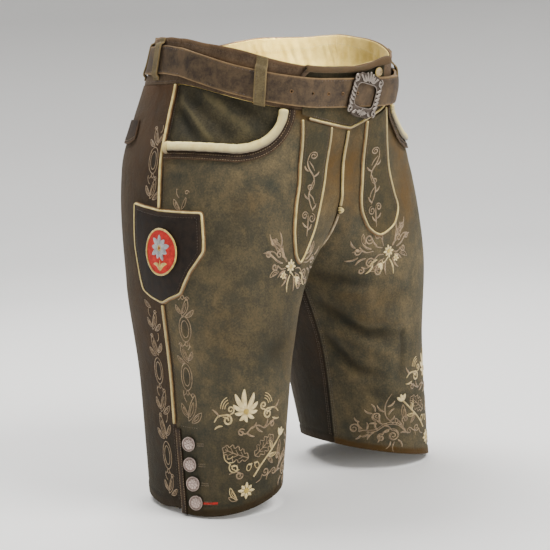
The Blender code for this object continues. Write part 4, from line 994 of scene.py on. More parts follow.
def tonguePiece(word):
    near, far, end = tongueBorders(word)
    left, right = softLine(near + [end], 90), softLine(far + [end], 90)
    share = evenly(22)
    wide = np.maximum(np.abs(right[:, :1] - left[:, :1]), 1e-6)
    keep = np.clip(0.0012 / wide, 0, 0.45)
    across = keep + (1 - 2 * keep) * share
    x, z = (left[:, k:k + 1] + (right - left)[:, k:k + 1] * across for k in (0, 1))
    swell = 0.0009 * np.sin(math.pi * share) ** 0.7 * np.clip(wide / 0.03, 0, 1)
    skin = onFront(x, z, gap["lay"] + tongueThick + swell)
    rub = 0.35 * hump(np.minimum(share, 1 - share) * wide, 0.005) + 0.15
    sheetPiece(
        "tongue" + word, skin, flapSuede, "suede", "tongue_" + word.lower(), tongueThick, rim=0.0003,
        uv=(x, z), rub=rub, deep=rub * 0)
    outline = softLine(near + [end] + far[::-1], 150)
    pipingPiece("tonguePiping" + word, *fromMiddle(*outline.T), "tongue_piping_" + word.lower())


for word, side in hands:
    tonguePiece(word)

# fly cord, its knot and the cord on to the crotch
fly = dict(
    top=flap["pointZ"] - piping["clear"] - 0.001, knotZ=-0.1755, knotRadius=0.0034, knotClear=0.0045,
    crotchEnd=-0.2385, cord=0.0032)


def middleSeam(z, radius):
    # centre of a cord of that radius in the front middle seam, clear of both fronts
    points = halfSection(z)[0][0]
    fine = readAlong(evenly(500), np.linspace(0, 1, len(points)), points)
    y = float(smoothRead(sectionTable, 2, z)) - radius - gap["lay"]
    while np.hypot(fine[:, 0], fine[:, 1] - y - gap["lay"]).min() > radius + gap["lay"]:
        y += gap["lay"] / 2
    return np.array([0.0, y, placeOn(1.0, 0.0, z)[2]])


aboveKnot, underKnot = (fly["knotZ"] + sign * fly["knotClear"] for sign in (1, -1))
for name, finish, slotName, top, bottom, node in (
        ("flyCord", pipingLeather, "cream", fly["top"], aboveKnot, "fly_piping"),
        ("crotchCord", soiledPiping, "brown", underKnot, fly["crotchEnd"], "crotch_piping")):
    path = softLine([middleSeam(z, piping["radius"]) for z in np.linspace(top, bottom, 46)[::5]], 60)
    cord = tube(path, np.tile([0.0, -1.0, 0.0], (60, 1)), fly["cord"], fly["cord"], 14)
    tubesPiece(name, [cord], finish, slotName, node)


def flyKnot():
    # three turns of the cord round itself
    centre, turns = middleSeam(fly["knotZ"], fly["knotRadius"]), roundTurns(40)[:, None]
    strands = []
    for lean, shift, reach in ((0.5, -0.0016, 0.0026), (-0.5, 0.0016, 0.0026), (0.0, 0.0, 0.0029)):
        across = np.array([math.cos(lean), 0.0, math.sin(lean)])
        ring = np.cos(turns) * across + np.sin(turns) * (0, -0.8, 0)
        ups = np.tile(np.cross(across, [0.0, 1.0, 0.0]), (40, 1))
        strands.append(tube(centre + (0, 0, shift) + reach * ring, ups, 0.0022, 0.0024, 10, True))
    core = [centre + (0, 0, t) for t in np.linspace(-0.0034, 0.0034, 6)]
    strands.append(tube(core, np.tile([0.0, -1.0, 0.0], (6, 1)), 0.004, 0.004, 12))
    tubesPiece("flyKnot", strands, pipingLeather, "cream", "fly_knot")


tape = dict(width=0.008, thick=0.001, inside=0.003, forkZ=-0.225, ridge=0.0012)


def seamTape():
    # a tape sewn inside over the middle seam, from the front under the crotch to the back
    down = np.linspace(-0.03, -0.2395, 60)
    ends = onSkin(-1, 0, down, -tape["inside"]), onSkin(-1, 2, down[::-1], -tape["inside"])
    path, ups = (np.concatenate(pair) for pair in zip(*ends))
    path[:, 0], ups[:, 0] = 0, 0
    # where the two legs part, the tape stays on top of the ridge between them
    path[:, 2] += tape["ridge"] * ease((tape["forkZ"] - path[:, 2]) / 0.012)
    tubesPiece("middleTape", [tube(path, unit(ups), tape["width"], tape["thick"], 10)], flapSuede, "suede")


flyKnot()
seamTape()
print("front closed")


# pocket mouths, outseams and slits
def pocketTrim(word, side):
    around, z = mouthBend(55)
    flat = np.linspace(pocket["flat"], 1, 35)
    around, z = np.concatenate([around, flat]), np.concatenate([z, pocketZ(flat)])
    around[0], z[0] = pocket["start"], level["bandSeam"] - 0.0005
    around[-1] = fromSide(0.0048, z[-1])
    height = pocket["rollHeight"]
    even = softLine(np.concatenate(onSkin(side, around, z, gap["trim"] + height / 2), 1)[::3], 120)
    path, ups, step = even[:, :3], even[:, 3:], np.arange(120)
    width = pocket["rollWidth"] * (1 + 0.03 * np.sin(step * 0.55) + 0.02 * np.sin(step * 1.3))
    roll = tube(path, ups, width, height, 20)
    tubesPiece("pocketRoll" + word, [roll], rollLeather, "cream", "pocket_roll_" + word.lower())
    down = unit(np.cross(ups, unit(np.gradient(path, axis=0)))) * -side
    share = evenly(11)
    reach = pocket["rollWidth"] / 2 - 0.0002 + (pocket["weltWidth"] + 0.0004) * share
    rows = path - ups * (height / 2 + gap["trim"]) + down * reach[:, None, None]
    # the welt is quilted between its two rows of stitches
    swelling = 0.0004 * np.sin(math.pi * share) - 0.0005 * (hump(share - 0.25, 0.1) + hump(share - 0.78, 0.1))
    lift = gap["trim"] + pocket["weltThick"] + swelling
    points = rows + ups * lift[:, None, None]
    sheetPiece(
        "pocketWelt" + word, (points, np.broadcast_to(ups, points.shape)), darkLeather, "dark",
        "pocket_welt_" + word.lower(), pocket["weltThick"], rim=0.0003,
        edge=np.broadcast_to(0.9 * hump(1 - share, 0.12)[:, None], points.shape[:2]))
    return [(rows[k] + ups * (lift[k] + 0.00015), ups) for k in (3, 8)]


pocketSeams = [seam for word, side in hands for seam in pocketTrim(word, side)]
knife = dict(
    topFront=-0.164, topMiddle=-0.161, topBack=-0.153, reach=0.0545, shoulder=-0.257,
    point=-0.263, thick=0.0024, swell=0.003,
)
for name, side, start, end, node in (
        ("RightUpper", -1, level["bandSeam"] - 0.0008, knife["topMiddle"] + 0.0025, "right_upper"),
        ("RightLower", -1, knife["point"] - 0.0025, level["slitTop"], "right_lower"),
        ("Left", 1, level["bandSeam"] - 0.0008, level["slitTop"], "left")):
    z = np.linspace(start, end, int(abs(end - start) / 0.003))
    pipingPiece("sidePiping" + name, side, 1.0, z, "side_piping_" + node, gap["trim"])

slit = dict(near=0.0008, far=0.0092, thick=0.0015)
button = dict(
    radius=0.0083, fromSide=(0.0229, 0.0222, 0.0241, 0.0259), z=(-0.4157, -0.4368, -0.4566, -0.4767))
# share of the button's radius and height off its foot in mm, from its shank to its middle
buttonProfile = (
    (0, 0), (0.24, 0), (0.25, 0.5), (0.6, 0.7), (0.93, 1.2), (0.985, 1.5), (1, 2.0), (0.99, 2.7), (0.95, 3.1),
    (0.9, 2.9), (0.86, 2.0), (0.8, 2.0), (0.6, 2.8), (0.3, 3.1), (0, 3.2))


def framed(out):
    # two axes square to a direction, the second as upright as it can be
    aside = unit(np.cross([0.0, 0.0, 1.0], out))
    return aside, np.cross(out, aside)


def lathe(profile, radius, steps):
    # a profile of shares of the radius and heights in mm, turned once round
    bm = bmesh.new()
    verts = [bm.verts.new((share * radius, 0, height * mm)) for share, height in profile]
    edges = [bm.edges.new(pair) for pair in zip(verts, verts[1:])]
    bmesh.ops.spin(
        bm, geom=verts + edges, cent=(0, 0, 0), axis=(0, 0, 1), angle=2 * math.pi, steps=steps,
        use_merge=True)
    bmesh.ops.remove_doubles(bm, verts=bm.verts[:], dist=1e-6)
    return bm


def coinButton():
    # a struck coin: raised rim of beads, a rosette of oak leaves and a boss
    radius = button["radius"]
    bm = lathe(buttonProfile, radius, 48)
    for turn in roundTurns(20):
        spot = Matrix.Translation((0.74 * radius * math.cos(turn), 0.74 * radius * math.sin(turn), 0.00235))
        bmesh.ops.create_icosphere(bm, subdivisions=1, radius=0.00038, matrix=spot)
    leaf, boss = Matrix.Diagonal((0.0021, 0.001, 0.00055, 1)), Matrix.Diagonal((0.0016, 0.0016, 0.0007, 1))
    for turn in roundTurns(8):
        spot = Matrix.Rotation(turn, 4, "Z") @ Matrix.Translation((0.46 * radius, 0, 0.003))
        bmesh.ops.create_uvsphere(bm, u_segments=10, v_segments=6, radius=1, matrix=spot @ leaf)
    middle = Matrix.Translation((0, 0, 0.0031)) @ boss
    bmesh.ops.create_uvsphere(bm, u_segments=14, v_segments=8, radius=1, matrix=middle)
    bmesh.ops.recalc_face_normals(bm, faces=bm.faces[:])
    return meshFrom("coin", bm)


coin = coinButton()
for word, side in hands:
    z, share = np.linspace(level["slitTop"] - 0.004, level["hem"], 40)[:, None], evenly(9)
    around = fromSide(slit["far"] + (slit["near"] - slit["far"]) * share, z)
    skin = onSkin(side, around, z, gap["lay"] + slit["thick"] + 0.0003 * np.sin(math.pi * share))
    sheetPiece(
        "slitBand" + word, skin, darkLeather, "dark", "placket_" + word.lower(), slit["thick"], rim=0.0003,
        edge=np.broadcast_to(0.9 * hump(1 - share, 0.25), around.shape))
    for number, (reach, z) in enumerate(zip(button["fromSide"], button["z"]), 1):
        foot, out = onSide(side, reach, z, gap["lay"] + 0.0012)
        ahead = unit(onSide(side, reach + 0.004, z, gap["lay"])[0] - foot)
        out = unit(out + 0.24 * ahead)
        aside, upright = framed(out)
        turned = math.radians(17 * number)
        one = aside * math.cos(turned) + upright * math.sin(turned)
        made = repeatMesh(f"coin{word}{number}", coin, [(one, np.cross(out, one), out, foot)])
        finishPiece(made, coinSilver, "silver", f"button_{word.lower()}_{number}")
print("pockets and slits trimmed")

# knife pocket on the right outseam: down from its top, then half widths ahead of the outseam and behind it
knifeTable = (
    (0.0, 0.0575, 0.051), (0.03, 0.059, 0.0497), (0.045, 0.0585, 0.0489), (0.056, 0.051, 0.0457),
    (0.066, 0.0432, 0.0429), (0.08, 0.0354, 0.039), (0.09, 0.0304, 0.0354), (0.0925, 0.029, 0.0325),
    (0.098, 0.014, 0.02),
)
badge = dict(across=0.0075, z=-0.206, width=0.048, height=0.052, thick=0.0012)


def knifeTop(distance):
    share = np.abs(distance) / knife["reach"]
    end = np.where(np.asarray(distance) > 0, knife["topFront"], knife["topBack"])
    return knife["topMiddle"] + (end - knife["topMiddle"]) * share


def knifeSide(word):
    # one side of the pocket as half width and height, top to bottom
    column, top = (1, knife["topFront"]) if word == "front" else (2, knife["topBack"])
    scale = (top - knife["shoulder"]) / knifeTable[-1][0]
    return np.array([(row[column], top - row[0] * scale) for row in knifeTable] + [(0.0, knife["point"])])


def knifeOutline():
    top = [(d, float(knifeTop(d))) for d in (-0.04, -0.02, 0.0, 0.02, 0.04)]
    rising = [(-half, z) for half, z in knifeSide("back")[-2::-1]]
    return np.array(top + [tuple(p) for p in knifeSide("front")] + rising)


def knifeCell(t, share):
    # distance ahead of the outseam and height at a place on the pocket, with how far it swells
    margin = 0.0012
    top = knifeTop(t * knife["reach"]) - margin
    z = top + (knife["point"] + margin * 1.8 - top) * share
    half = np.zeros(z.shape)
    for word, mine in (("front", t > 0), ("back", t <= 0)):
        line = knifeSide(word)[::-1]
        half = np.where(mine, np.interp(z, line[:, 1], line[:, 0]), half)
    reach = t * np.maximum(half - margin * (1.1 + 2.0 * share**6), 0.0005)
    swell = knife["swell"] * (1 - t * t) * np.sin(math.pi * np.minimum(share * 0.9 + 0.1, 1.0))
    return reach, z, swell


def knifePocket():
    t, share = np.meshgrid(np.linspace(-1, 1, 61), evenly(64))
    reach, z, swell = knifeCell(t, share)
    edge = np.minimum(1 - np.abs(t), np.minimum(share * 1.4, 1)) * 0.05
    # a stitched groove runs inside the piping
    lift = gap["lay"] + knife["thick"] + swell - 0.0007 * hump(edge - 0.0035, 0.0012)
    sheetPiece(
        "knifePocket", onSide(-1, reach, z, lift), pouchLeather, "dark", "knife_pocket",
        knife["thick"], rim=0.0004, uv=(reach, z), edge=0.5 * hump(edge, 0.003))
    corners = knifeOutline()
    border = []
    for a, b in zip(corners, np.roll(corners, -1, axis=0)):
        steps = max(int(math.dist(a, b) / 0.0018), 2)
        border += [a + (b - a) * share for share in np.linspace(0, 1, steps, endpoint=False)]
    border = np.array(border)
    # the corners are turned, not cut
    for _ in range(3):
        border = (np.roll(border, 1, axis=0) + 2 * border + np.roll(border, -1, axis=0)) / 4
    reach, z = border.T
    pipingPiece("knifePiping", -1, fromSide(reach, z), z, "knife_pocket_piping", closed=True)


def badgeAt(x, y, lift):
    # a place on the badge, -1 to 1 each way, lifted off the pocket
    z = badge["z"] + y * badge["height"] / 2
    reach = badge["across"] + x * badge["width"] / 2
    base = gap["lay"] * 2 + knife["thick"] + knife["swell"] + badge["thick"]
    return onSide(-1, reach, z, base + lift)


def spoke(turn, start, stop, y=0.16, bend=0.0):
    reach, swing = np.linspace(start, stop, 9), bend * np.sin(np.linspace(0, math.pi, 9))
    across, up = math.sin(turn), math.cos(turn)
    return reach * across + swing * up, y + reach * up * 0.93 - swing * across


def satin(name, finish, lines):
    # satin lines on the badge: places along each, widest width, closed or not
    tubes = []
    for (x, y), width, closed in lines:
        path, ups = badgeAt(x, y, 0.0002)
        swell = 1.0 if closed else np.sin(np.linspace(0.15, 0.98, len(path)) * math.pi) ** 0.7
        height = 0.0016 if closed else 0.0013
        tubes.append(tube(path, ups, width * swell, height, closed=closed))
    tubesPiece(name, tubes, finish, "badge")


def badgePieces():
    # an oval of satin stitch: a red field in a gold rope edge, with a silver flower on gold leaves
    u, v = np.meshgrid(np.linspace(-1, 1, 31), np.linspace(-1, 1, 31))
    x, y = u * np.sqrt(1 - v * v / 2) * 0.95, v * np.sqrt(1 - u * u / 2) * 0.95
    skin = badgeAt(x, y, 0.00012 * np.sin((x + y) * 46))
    sheetPiece("badgeField", skin, redThread, "badge", "knife_pocket_badge", badge["thick"], rim=0)
    turns = roundTurns(90)
    few = turns[::6]
    satin("badgeGold", goldThread, [
        ((0.955 * np.cos(turns), 0.955 * np.sin(turns)), 0.0022 * (1 + 0.09 * np.sin(turns * 60)), True),
        ((0.1 * np.cos(few), 0.16 + 0.1 * np.sin(few)), 0.0024, True),
        (spoke(-0.95, 0.05, 0.52, -0.78, 0.1), 0.0046, False),
        (spoke(0.95, 0.05, 0.52, -0.78, -0.1), 0.0046, False),
        (spoke(0.0, 0.0, 0.5, -0.8), 0.0016, False)])
    satin("badgeFlower", silverThread, [
        (spoke(turn, 0.12, 0.6 - 0.1 * (k % 2)), 0.0062, False) for k, turn in enumerate(roundTurns(9))])


knifePocket()
badgePieces()
backFlap = dict(top=-0.06, bottom=-0.085, near=0.065, far=0.13, thick=0.0018, kick=0.0006)


def backFlapAt(t, share):
    # distance ahead of the outseam and height on the back flap
    droop = (1 - np.abs(2 * t - 1) ** 2.5) * 0.006
    z = backFlap["top"] + (backFlap["bottom"] + 0.004 - droop - backFlap["top"]) * share
    return -(backFlap["near"] + (backFlap["far"] - backFlap["near"]) * t) * np.ones(z.shape), z


def backPocketFlap():
    t, share = evenly(46), evenly(22)[:, None]
    reach, z = backFlapAt(t, share)
    rim = np.minimum(np.minimum(t, 1 - t) * 0.072, (1 - share) * 0.025)
    lift = gap["lay"] + backFlap["kick"] * share**2 + backFlap["thick"] - 0.0004 * hump(rim - 0.003, 0.001)
    sheetPiece(
        "backPocketFlap", onSide(-1, reach, z, lift), darkLeather, "dark", "back_pocket_flap",
        backFlap["thick"], rim=0.0004, edge=0.9 * hump(rim, 0.002))


backPocketFlap()
print("knife pocket and back flap sewn on")

# belt, its loops and its buckle
belt = dict(
    width=0.032, thick=0.0028, lift=0.0013, flapLift=0.0031, standOff=0.003,
    lap=0.0036, start=0.105, tip=0.4, flapEdges=(0.335, 0.285),
)
# place around, height of the belt's middle line
beltTable = (
    (0.0, 0.0043), (0.3, 0.004), (0.55, 0.0015), (0.7, 0.0), (0.85, 0.001), (1.0, 0.004), (1.14, 0.0075),
    (1.3, 0.007), (2.0, 0.006),
)
loops = dict(width=0.0125, thick=0.0018, around=dict(Front=0.525, Side=1.19, Back=1.5))


def beltLift(side, around, lapped):
    side, around, lapped = np.broadcast_arrays(np.asarray(side, float), around, lapped)
    edge = np.where(side < 0, *belt["flapEdges"])
    raised = ease((edge + 0.14 - around) / 0.12) * (around < 1)
    lift = belt["lift"] + (belt["flapLift"] - belt["lift"]) * raised
    lift = lift + (side > 0) * belt["standOff"] * ease((around - 0.2) / 0.3) * ease((1.75 - around) / 0.45)
    under = (side < 0) & (around < 1)
    return lift + np.where(lapped, belt["lap"], under * belt["lap"] * ease((0.2 - around) / 0.18))


def beltLevel(side, around, share):
    # height on the skin of a line along the belt: -1 its lower edge, 1 its upper edge
    middle = smoothRead(beltTable, 1, around)
    above, below = (placeOn(side, around, middle + step)[..., 2] for step in (0.01, -0.01))
    return middle + share * belt["width"] / 2 / ((above - below) / 0.02)


def beltPlaces():
    left = np.concatenate([np.linspace(belt["start"], 1, 70), np.linspace(1, 2, 80)[1:]])
    right = np.concatenate([np.linspace(2, 1, 80)[1:], np.linspace(1, 0, 90)[1:]])
    lap = np.linspace(0, belt["tip"], 34)[1:]
    side = np.concatenate([np.ones(len(left)), -np.ones(len(right)), np.ones(len(lap))])
    lapped = np.concatenate([np.zeros(len(left) + len(right)), np.ones(len(lap))]).astype(bool)
    return side, np.concatenate([left, right, lap]), lapped


def beltPiece():
    side, around, lapped = beltPlaces()
    share = np.linspace(1, -1, 17)[:, None] * np.ones(len(side))
    runs = runsAlong(placeOn(side, around, 0.004) * np.stack([side, side**2, side**2], 1))
    # the tip is rounded off
    tip = np.sqrt(1 - np.clip(1 - (runs[-1] - runs) / 0.014, 0, 1) ** 2 * 0.86)
    edge = 1 - np.abs(share)
    crown = 0.0004 * (1 - share**2) - 0.0003 * hump(edge - 0.17, 0.035)
    wave = 0.0003 * np.sin(runs * 52) + 0.0002 * np.sin(runs * 131 + 1)
    lift = beltLift(side, around, lapped) + belt["thick"] - 0.0002 + crown + wave
    return sheetPiece(
        "belt-strap", onSkin(side, around, beltLevel(side, around, share * tip), lift), beltLeather, "brown",
        "belt", belt["thick"], uv=(np.broadcast_to(runs, share.shape), share * 0.016),
        edge=np.clip(hump(edge, 0.075) * 1.15, 0, 1))


def ringPath(foot, out, lift, radius, count):
    # a ring round a place, and the way out at each of its points
    aside, upright = framed(out)
    turns = roundTurns(count)[:, None]
    ring = foot + out * lift + (np.cos(turns) * aside + np.sin(turns) * upright) * radius
    return ring, np.tile(out, (count, 1))


# holes: signed distance along the front from the middle, towards the wearer's right
beltHoles = dict(x=(-0.0865, -0.065, -0.0435, -0.0235, -0.0015), radius=0.0013)


def punchHoles(strap):
    cutter = bmesh.new()
    rims = []
    for x in beltHoles["x"]:
        side, around, z = fromMiddle(x, 0)
        lift = beltLift(side, around, x > 0) + belt["thick"]
        foot, out = onSkin(side, around, beltLevel(side, around, 0), lift)
        spin = Matrix((*framed(out), out)).transposed().to_4x4()
        bmesh.ops.create_cone(
            cutter, cap_ends=True, segments=16, radius1=beltHoles["radius"], radius2=beltHoles["radius"],
            depth=0.0048, matrix=Matrix.Translation(foot) @ spin)
        rims.append(tube(*ringPath(foot, out, 0.0002, 0.0017, 18), 0.0009, 0.0007, closed=True))
    tool = linkMesh("cutter", cutter)
    cut = strap.modifiers.new("holes", "BOOLEAN")
    cut.operation = "DIFFERENCE"
    cut.object = tool
    ready = strap.evaluated_get(bpy.context.evaluated_depsgraph_get())
    mesh = bpy.data.meshes.new_from_object(ready)
    strap.modifiers.clear()
    strap.data = mesh
    bpy.data.objects.remove(tool)
    tubesPiece("beltHoleRims", rims, pipingLip, "brown")


punchHoles(beltPiece())


def loopPiece(name, side, around, node):
    crossing = float(beltLift(side, around, False)) + belt["thick"] + gap["trim"]
    top, bottom = (float(beltLevel(side, around, share)) for share in (1, -1))
    edge = float(waistEdge(side, around))
    line = softLine((
        (edge - 0.0008, gap["lay"]),
        (top + (edge - top) * 0.45, gap["lay"] + 0.0003),
        (top + 0.0012, crossing - 0.0002),
        ((top + bottom) / 2, crossing + 0.0006),
        (bottom - 0.0006, crossing - 0.0002),
        (bottom - 0.004, gap["lay"] + 0.0006),
        (bottom - 0.0068, gap["lay"])), 60)
    t, z = np.linspace(-1, 1, 11), line[:, :1] * np.ones(11)
    half = loops["width"] / 2 / runLength(around, z)
    # both edges are folded under, so they stand a little above the middle
    lift = line[:, 1:] + loops["thick"] + 0.00035 * hump(np.abs(t) - 0.8, 0.14)
    rub = 0.85 * hump(1 - np.abs(t), 0.2) * np.ones(z.shape)
    sheetPiece(
        name, onSkin(side, around + t * half, z, lift), loopSuede, "suede", node, loops["thick"],
        rim=0.0004, rub=rub, deep=rub * 0)


for word, around in loops["around"].items():
    for hand, side in hands:
        loopPiece("beltLoop" + word + hand, side, around, f"loop_{word}_{hand}".lower())

# sizes of the buckle in mm, its place on the front in metres
buckle = dict(
    width=47.5, height=46, thick=3.2, bar=7.6, across=0.0088, z=0.0012, tilt=12, lean=13, off=0.0006)
buckleLift = belt["flapLift"] + belt["thick"] + belt["lap"] + buckle["off"]
buckleFoot = onFront(buckle["across"], buckle["z"], buckleLift)[0]
buckleTurn = np.array(
    Matrix.Rotation(math.radians(buckle["lean"]), 3, "X")
    @ Matrix.Rotation(math.radians(buckle["tilt"]), 3, "Y"))


def onBuckle(x, z, height):
    x, z, height = np.broadcast_arrays(x, z, height)
    return buckleFoot + np.stack([x, -height, z], -1) * mm @ buckleTurn.T


def buckleRim(angle, inset):
    # the frame's outline in its own plane: inset 0 is its rim, 1 its window
    c, s = np.cos(angle), np.sin(angle)
    reach = inset * buckle["bar"]
    x = (buckle["width"] / 2 - reach) * np.copysign(np.abs(c) ** 0.42, c)
    z = (buckle["height"] / 2 - reach * 1.25) * np.copysign(np.abs(s) ** 0.42, s)
    crest = 2 * np.copysign(ease((np.abs(s) - 0.88) / 0.12), s) * (inset < 0.5)
    scallop = 0.4 * np.sin(angle * 22) * (1 - inset)
    return x + scallop * c, z + crest + scallop * s


def scrollPath(x, z, reach, start, turns, hand=1, count=26):
    # a volute that winds in from its rim
    t = np.linspace(0, 1, count)
    turn = start + hand * t * turns * 2 * math.pi
    radius = reach * (1 - 0.82 * t)
    return x + radius * np.cos(turn), z + radius * np.sin(turn)


def buckleStroke(x, z, width, height, closed=False):
    path = onBuckle(x, z, 0.68 * buckle["thick"])
    ups = np.tile(-buckleTurn[:, 1], (len(path), 1))
    return tube(path, ups, np.asarray(width) * mm, height * mm, closed=closed)


def buckleLeaf(a, b, bend, width, height=2.2):
    # a plump leaf from a to b that swings aside between them
    a, b = np.array(a), np.array(b)
    away = np.array([b[1] - a[1], a[0] - b[0]]) / math.dist(a, b)
    x, z = softLine([a, (a + b) / 2 + away * bend, b], 12).T
    swell = np.sin(np.linspace(0.3, 2.9, 12)) ** 0.8
    return buckleStroke(x, z, width * swell, height * (0.55 + 0.45 * swell))


def bucklePiece():
    bm = bmesh.new()
    profile = (
        (0, 0), (0, 0.45), (0.03, 0.72), (0.1, 0.84), (0.2, 0.7), (0.5, 0.62), (0.8, 0.7), (0.9, 0.84),
        (0.97, 0.72), (1, 0.45), (1, 0), (0, 0))
    angles = np.linspace(0, 2 * math.pi, 133)
    addRings(bm, np.array([
        onBuckle(*buckleRim(angles, inset), height * buckle["thick"]) for inset, height in profile]))
    bmesh.ops.remove_doubles(bm, verts=bm.verts[:], dist=2e-6)
    bmesh.ops.recalc_face_normals(bm, faces=bm.faces[:])
    finishPiece(linkMesh("buckleFrame", bm), blackSilver, "silver", "buckle")
    wide, tall = buckle["width"] / 2, buckle["height"] / 2
    strokes = []
    for sx in (-1, 1):
        for sz in (-1, 1):
            # a volute in each corner, with a leaf curling out on either side
            volute = scrollPath(sx * (wide - 4.3), sz * (tall - 5.2), 3.9, math.pi / 2 * sz, 1.2, -sx * sz)
            strokes.append(buckleStroke(*volute, np.linspace(2, 3.4, 26), 2.4))
            for foot, tip, bend, width in (
                    ((8.2, 1.4), (13.8, 6), 1.2, 3.6), ((7.2, 7.6), (1.2, 10.8), -1, 3.4)):
                foot, tip = ((sx * (wide - x), sz * (tall - z)) for x, z in (foot, tip))
                strokes.append(buckleLeaf(foot, tip, bend * sx * sz, width))
        # slanted leaves down the sides
        for k in range(5):
            high = 9.8 - 4.8 * k
            foot, tip = (sx * (wide - 7), high - 3), (sx * (wide - 0.2), high + 2.2)
            strokes.append(buckleLeaf(foot, tip, 1.2 * sx, 3.8))
    # a palmette at the head, a smaller one at the foot
    for sz, size in ((1, 1.45), (-1, 1.0)):
        for k in range(-3, 4):
            reach, foot = (7.8 - 0.6 * abs(k)) * size, (1.2 * k, sz * (tall - 6.6))
            tip = foot[0] + math.sin(k * 0.4) * reach, foot[1] + sz * math.cos(k * 0.4) * reach
            strokes.append(buckleLeaf(foot, tip, 0.4 * k, 2.9 * size, 3 - 0.3 * abs(k)))
        strokes.append(buckleStroke(*scrollPath(0, sz * (tall - 6.4), 1.6, 0, 0.999, 1, 16), 1.6, 2.2))
    # a beaded line round the window
    around = roundTurns(160)
    strokes.append(buckleStroke(*buckleRim(around, 0.965), 1 + 0.35 * np.sin(around * 40), 1.1, True))
    tubesPiece("buckleRelief", strokes, oldSilver, "silver")


hornButton = dict(across=0.0345, z=0.029, radius=0.0054)


def flapButtonPieces():
    foot, out = onFront(hornButton["across"], hornButton["z"], gap["lay"] * 2 + flap["thick"])
    bm = lathe((
        (0, 0), (0.25, 0), (0.26, 0.6), (0.9, 1), (0.99, 1.6), (1, 2.2), (0.96, 2.7), (0.8, 3), (0.62, 2.7),
        (0.4, 2.5), (0, 2.5)), hornButton["radius"], 36)
    bmesh.ops.recalc_face_normals(bm, faces=bm.faces[:])
    horn = repeatMesh("hornButton", meshFrom("hornDisc", bm), [(*framed(out), out, foot)])
    finishPiece(horn, hornFinish, "horn", "flap_button")
    rim = tube(*ringPath(foot, out, 0.0023, 0.0052, 30), 0.001, 0.001, closed=True)
    tubesPiece("hornButtonRim", [rim], goldThread, "horn")


def flapRollEnd():
    # the flap's rolled edge turns down at its free end and runs under the belt
    x, z = softLine([(flap["right"] + x * mm, flap["top"] + z * mm) for x, z in (
        (14, 0.8), (8, 0.2), (3, -2.4), (-1, -7), (-3.2, -12), (-3.8, -17.5))], 40).T
    width = 0.0054 - 0.0014 * evenly(40)
    end = tube(*onFront(x, z, gap["lay"] + 0.003), width, width * 0.95, 16)
    tubesPiece("flapRollEnd", [end], waistSuede, "suede")


bucklePiece()
flapButtonPieces()
flapRollEnd()
print("belt and buckle made")

# embroidery: scrolls, leaves and mountain flowers; each place is in mm, ahead of the outseam and up
drawn = []


def draw(kind, x, z, width=0.95, height=0.8, closed=False, lift=0.0):
    size = np.asarray(width) * mm, height * mm, 6, closed
    drawn.append((kind, np.asarray(x) * mm, np.asarray(z) * mm, (lift + 0.12) * mm, size))


def bentLine(x, z, length, turn, bend, share, half=0.0):
    # a line from its foot, turned from upright towards the front
    half = half + bend * 4 * share * (1 - share)
    return (
        x + math.sin(turn) * length * share + math.cos(turn) * half,
        z + math.cos(turn) * length * share - math.sin(turn) * half)


def leafLine(x, z, length, width, turn, bend=0.0, count=20):
    # the outline of a pointed leaf
    t = roundTurns(count)
    share = (1 - np.cos(t)) / 2
    half = width / 2 * np.sin(math.pi * share) ** 0.75 * np.sign(np.sin(t))
    return bentLine(x, z, length, turn, bend, share, half)


def petalLine(x, z, length, turn, bend=0.0, count=10):
    return bentLine(x, z, length, turn, bend, evenly(count))


def ovalLine(x, z, width, height, turn=0.0, count=26):
    t = roundTurns(count)
    u, v = width / 2 * np.cos(t), height / 2 * np.sin(t)
    return x + u * math.cos(turn) + v * math.sin(turn), z - u * math.sin(turn) + v * math.cos(turn)


def softThread(kind, points, count, width):
    x, z = softLine(points, count).T
    draw(kind, x, z, width)
    return x, z


def leaf(kind, x, z, length, width, turn, bend=0.0, vein=True):
    draw(kind, *leafLine(x, z, length, width, turn, bend), closed=True)
    if vein:
        foot = x + math.sin(turn) * length * 0.16, z + math.cos(turn) * length * 0.16
        draw(kind, *leafLine(*foot, length * 0.58, width * 0.42, turn, bend * 0.6, 14), 0.7, closed=True)


def petal(kind, x, z, length, width, turn, bend=0.0, height=1.1):
    shape = width * np.sin(np.linspace(0.1, 1.0, 10) * math.pi * 0.97) ** 0.75 + 0.3
    draw(kind, *petalLine(x, z, length, turn, bend), shape, height)


def scroll(kind, x, z, reach, start, turns, hand=1, tail=None, width=1.2):
    # a volute, and if wanted a tail that swings out from its rim to a point
    u, v = scrollPath(x, z, reach, start, turns, hand, 28)
    if tail:
        aside = (v[0] - tail[1]) * 0.18 * hand, (tail[0] - u[0]) * 0.18 * hand
        middle = (tail[0] + u[0]) / 2 + aside[0], (tail[1] + v[0]) / 2 + aside[1]
        swing = softLine([tail, middle, (u[0], v[0])], 10)[:-1]
        u, v = np.concatenate([swing[:, 0], u]), np.concatenate([swing[:, 1], v])
    draw(kind, u, v, width * (0.55 + 0.75 * np.sin(np.linspace(0.15, 0.85, len(u)) * math.pi) ** 1.5))


def knots(x, z, reach, size, width, height, lift):
    # seven small gold knots in the middle of a flower
    for k, turn in enumerate([*roundTurns(6), 0]):
        away = reach * (k < 6)
        spot = ovalLine(x + away * math.sin(turn), z + away * math.cos(turn), size, size, 0, 7)
        draw("gold", *spot, width, height, True, lift)


def flower(x, z, size, petals, width, start, core):
    # a mountain flower: a star of padded petals round a knotted middle
    for k, turn in enumerate(start + roundTurns(petals)):
        length = size * (0.84 if k % 2 else 1)
        foot = x + math.sin(turn) * size * core, z + math.cos(turn) * size * core
        petal("satin", *foot, length - size * core, width, turn)
    knots(x, z, size * core * 0.75, size * core * 0.5, 1, 1.2, 0.4)


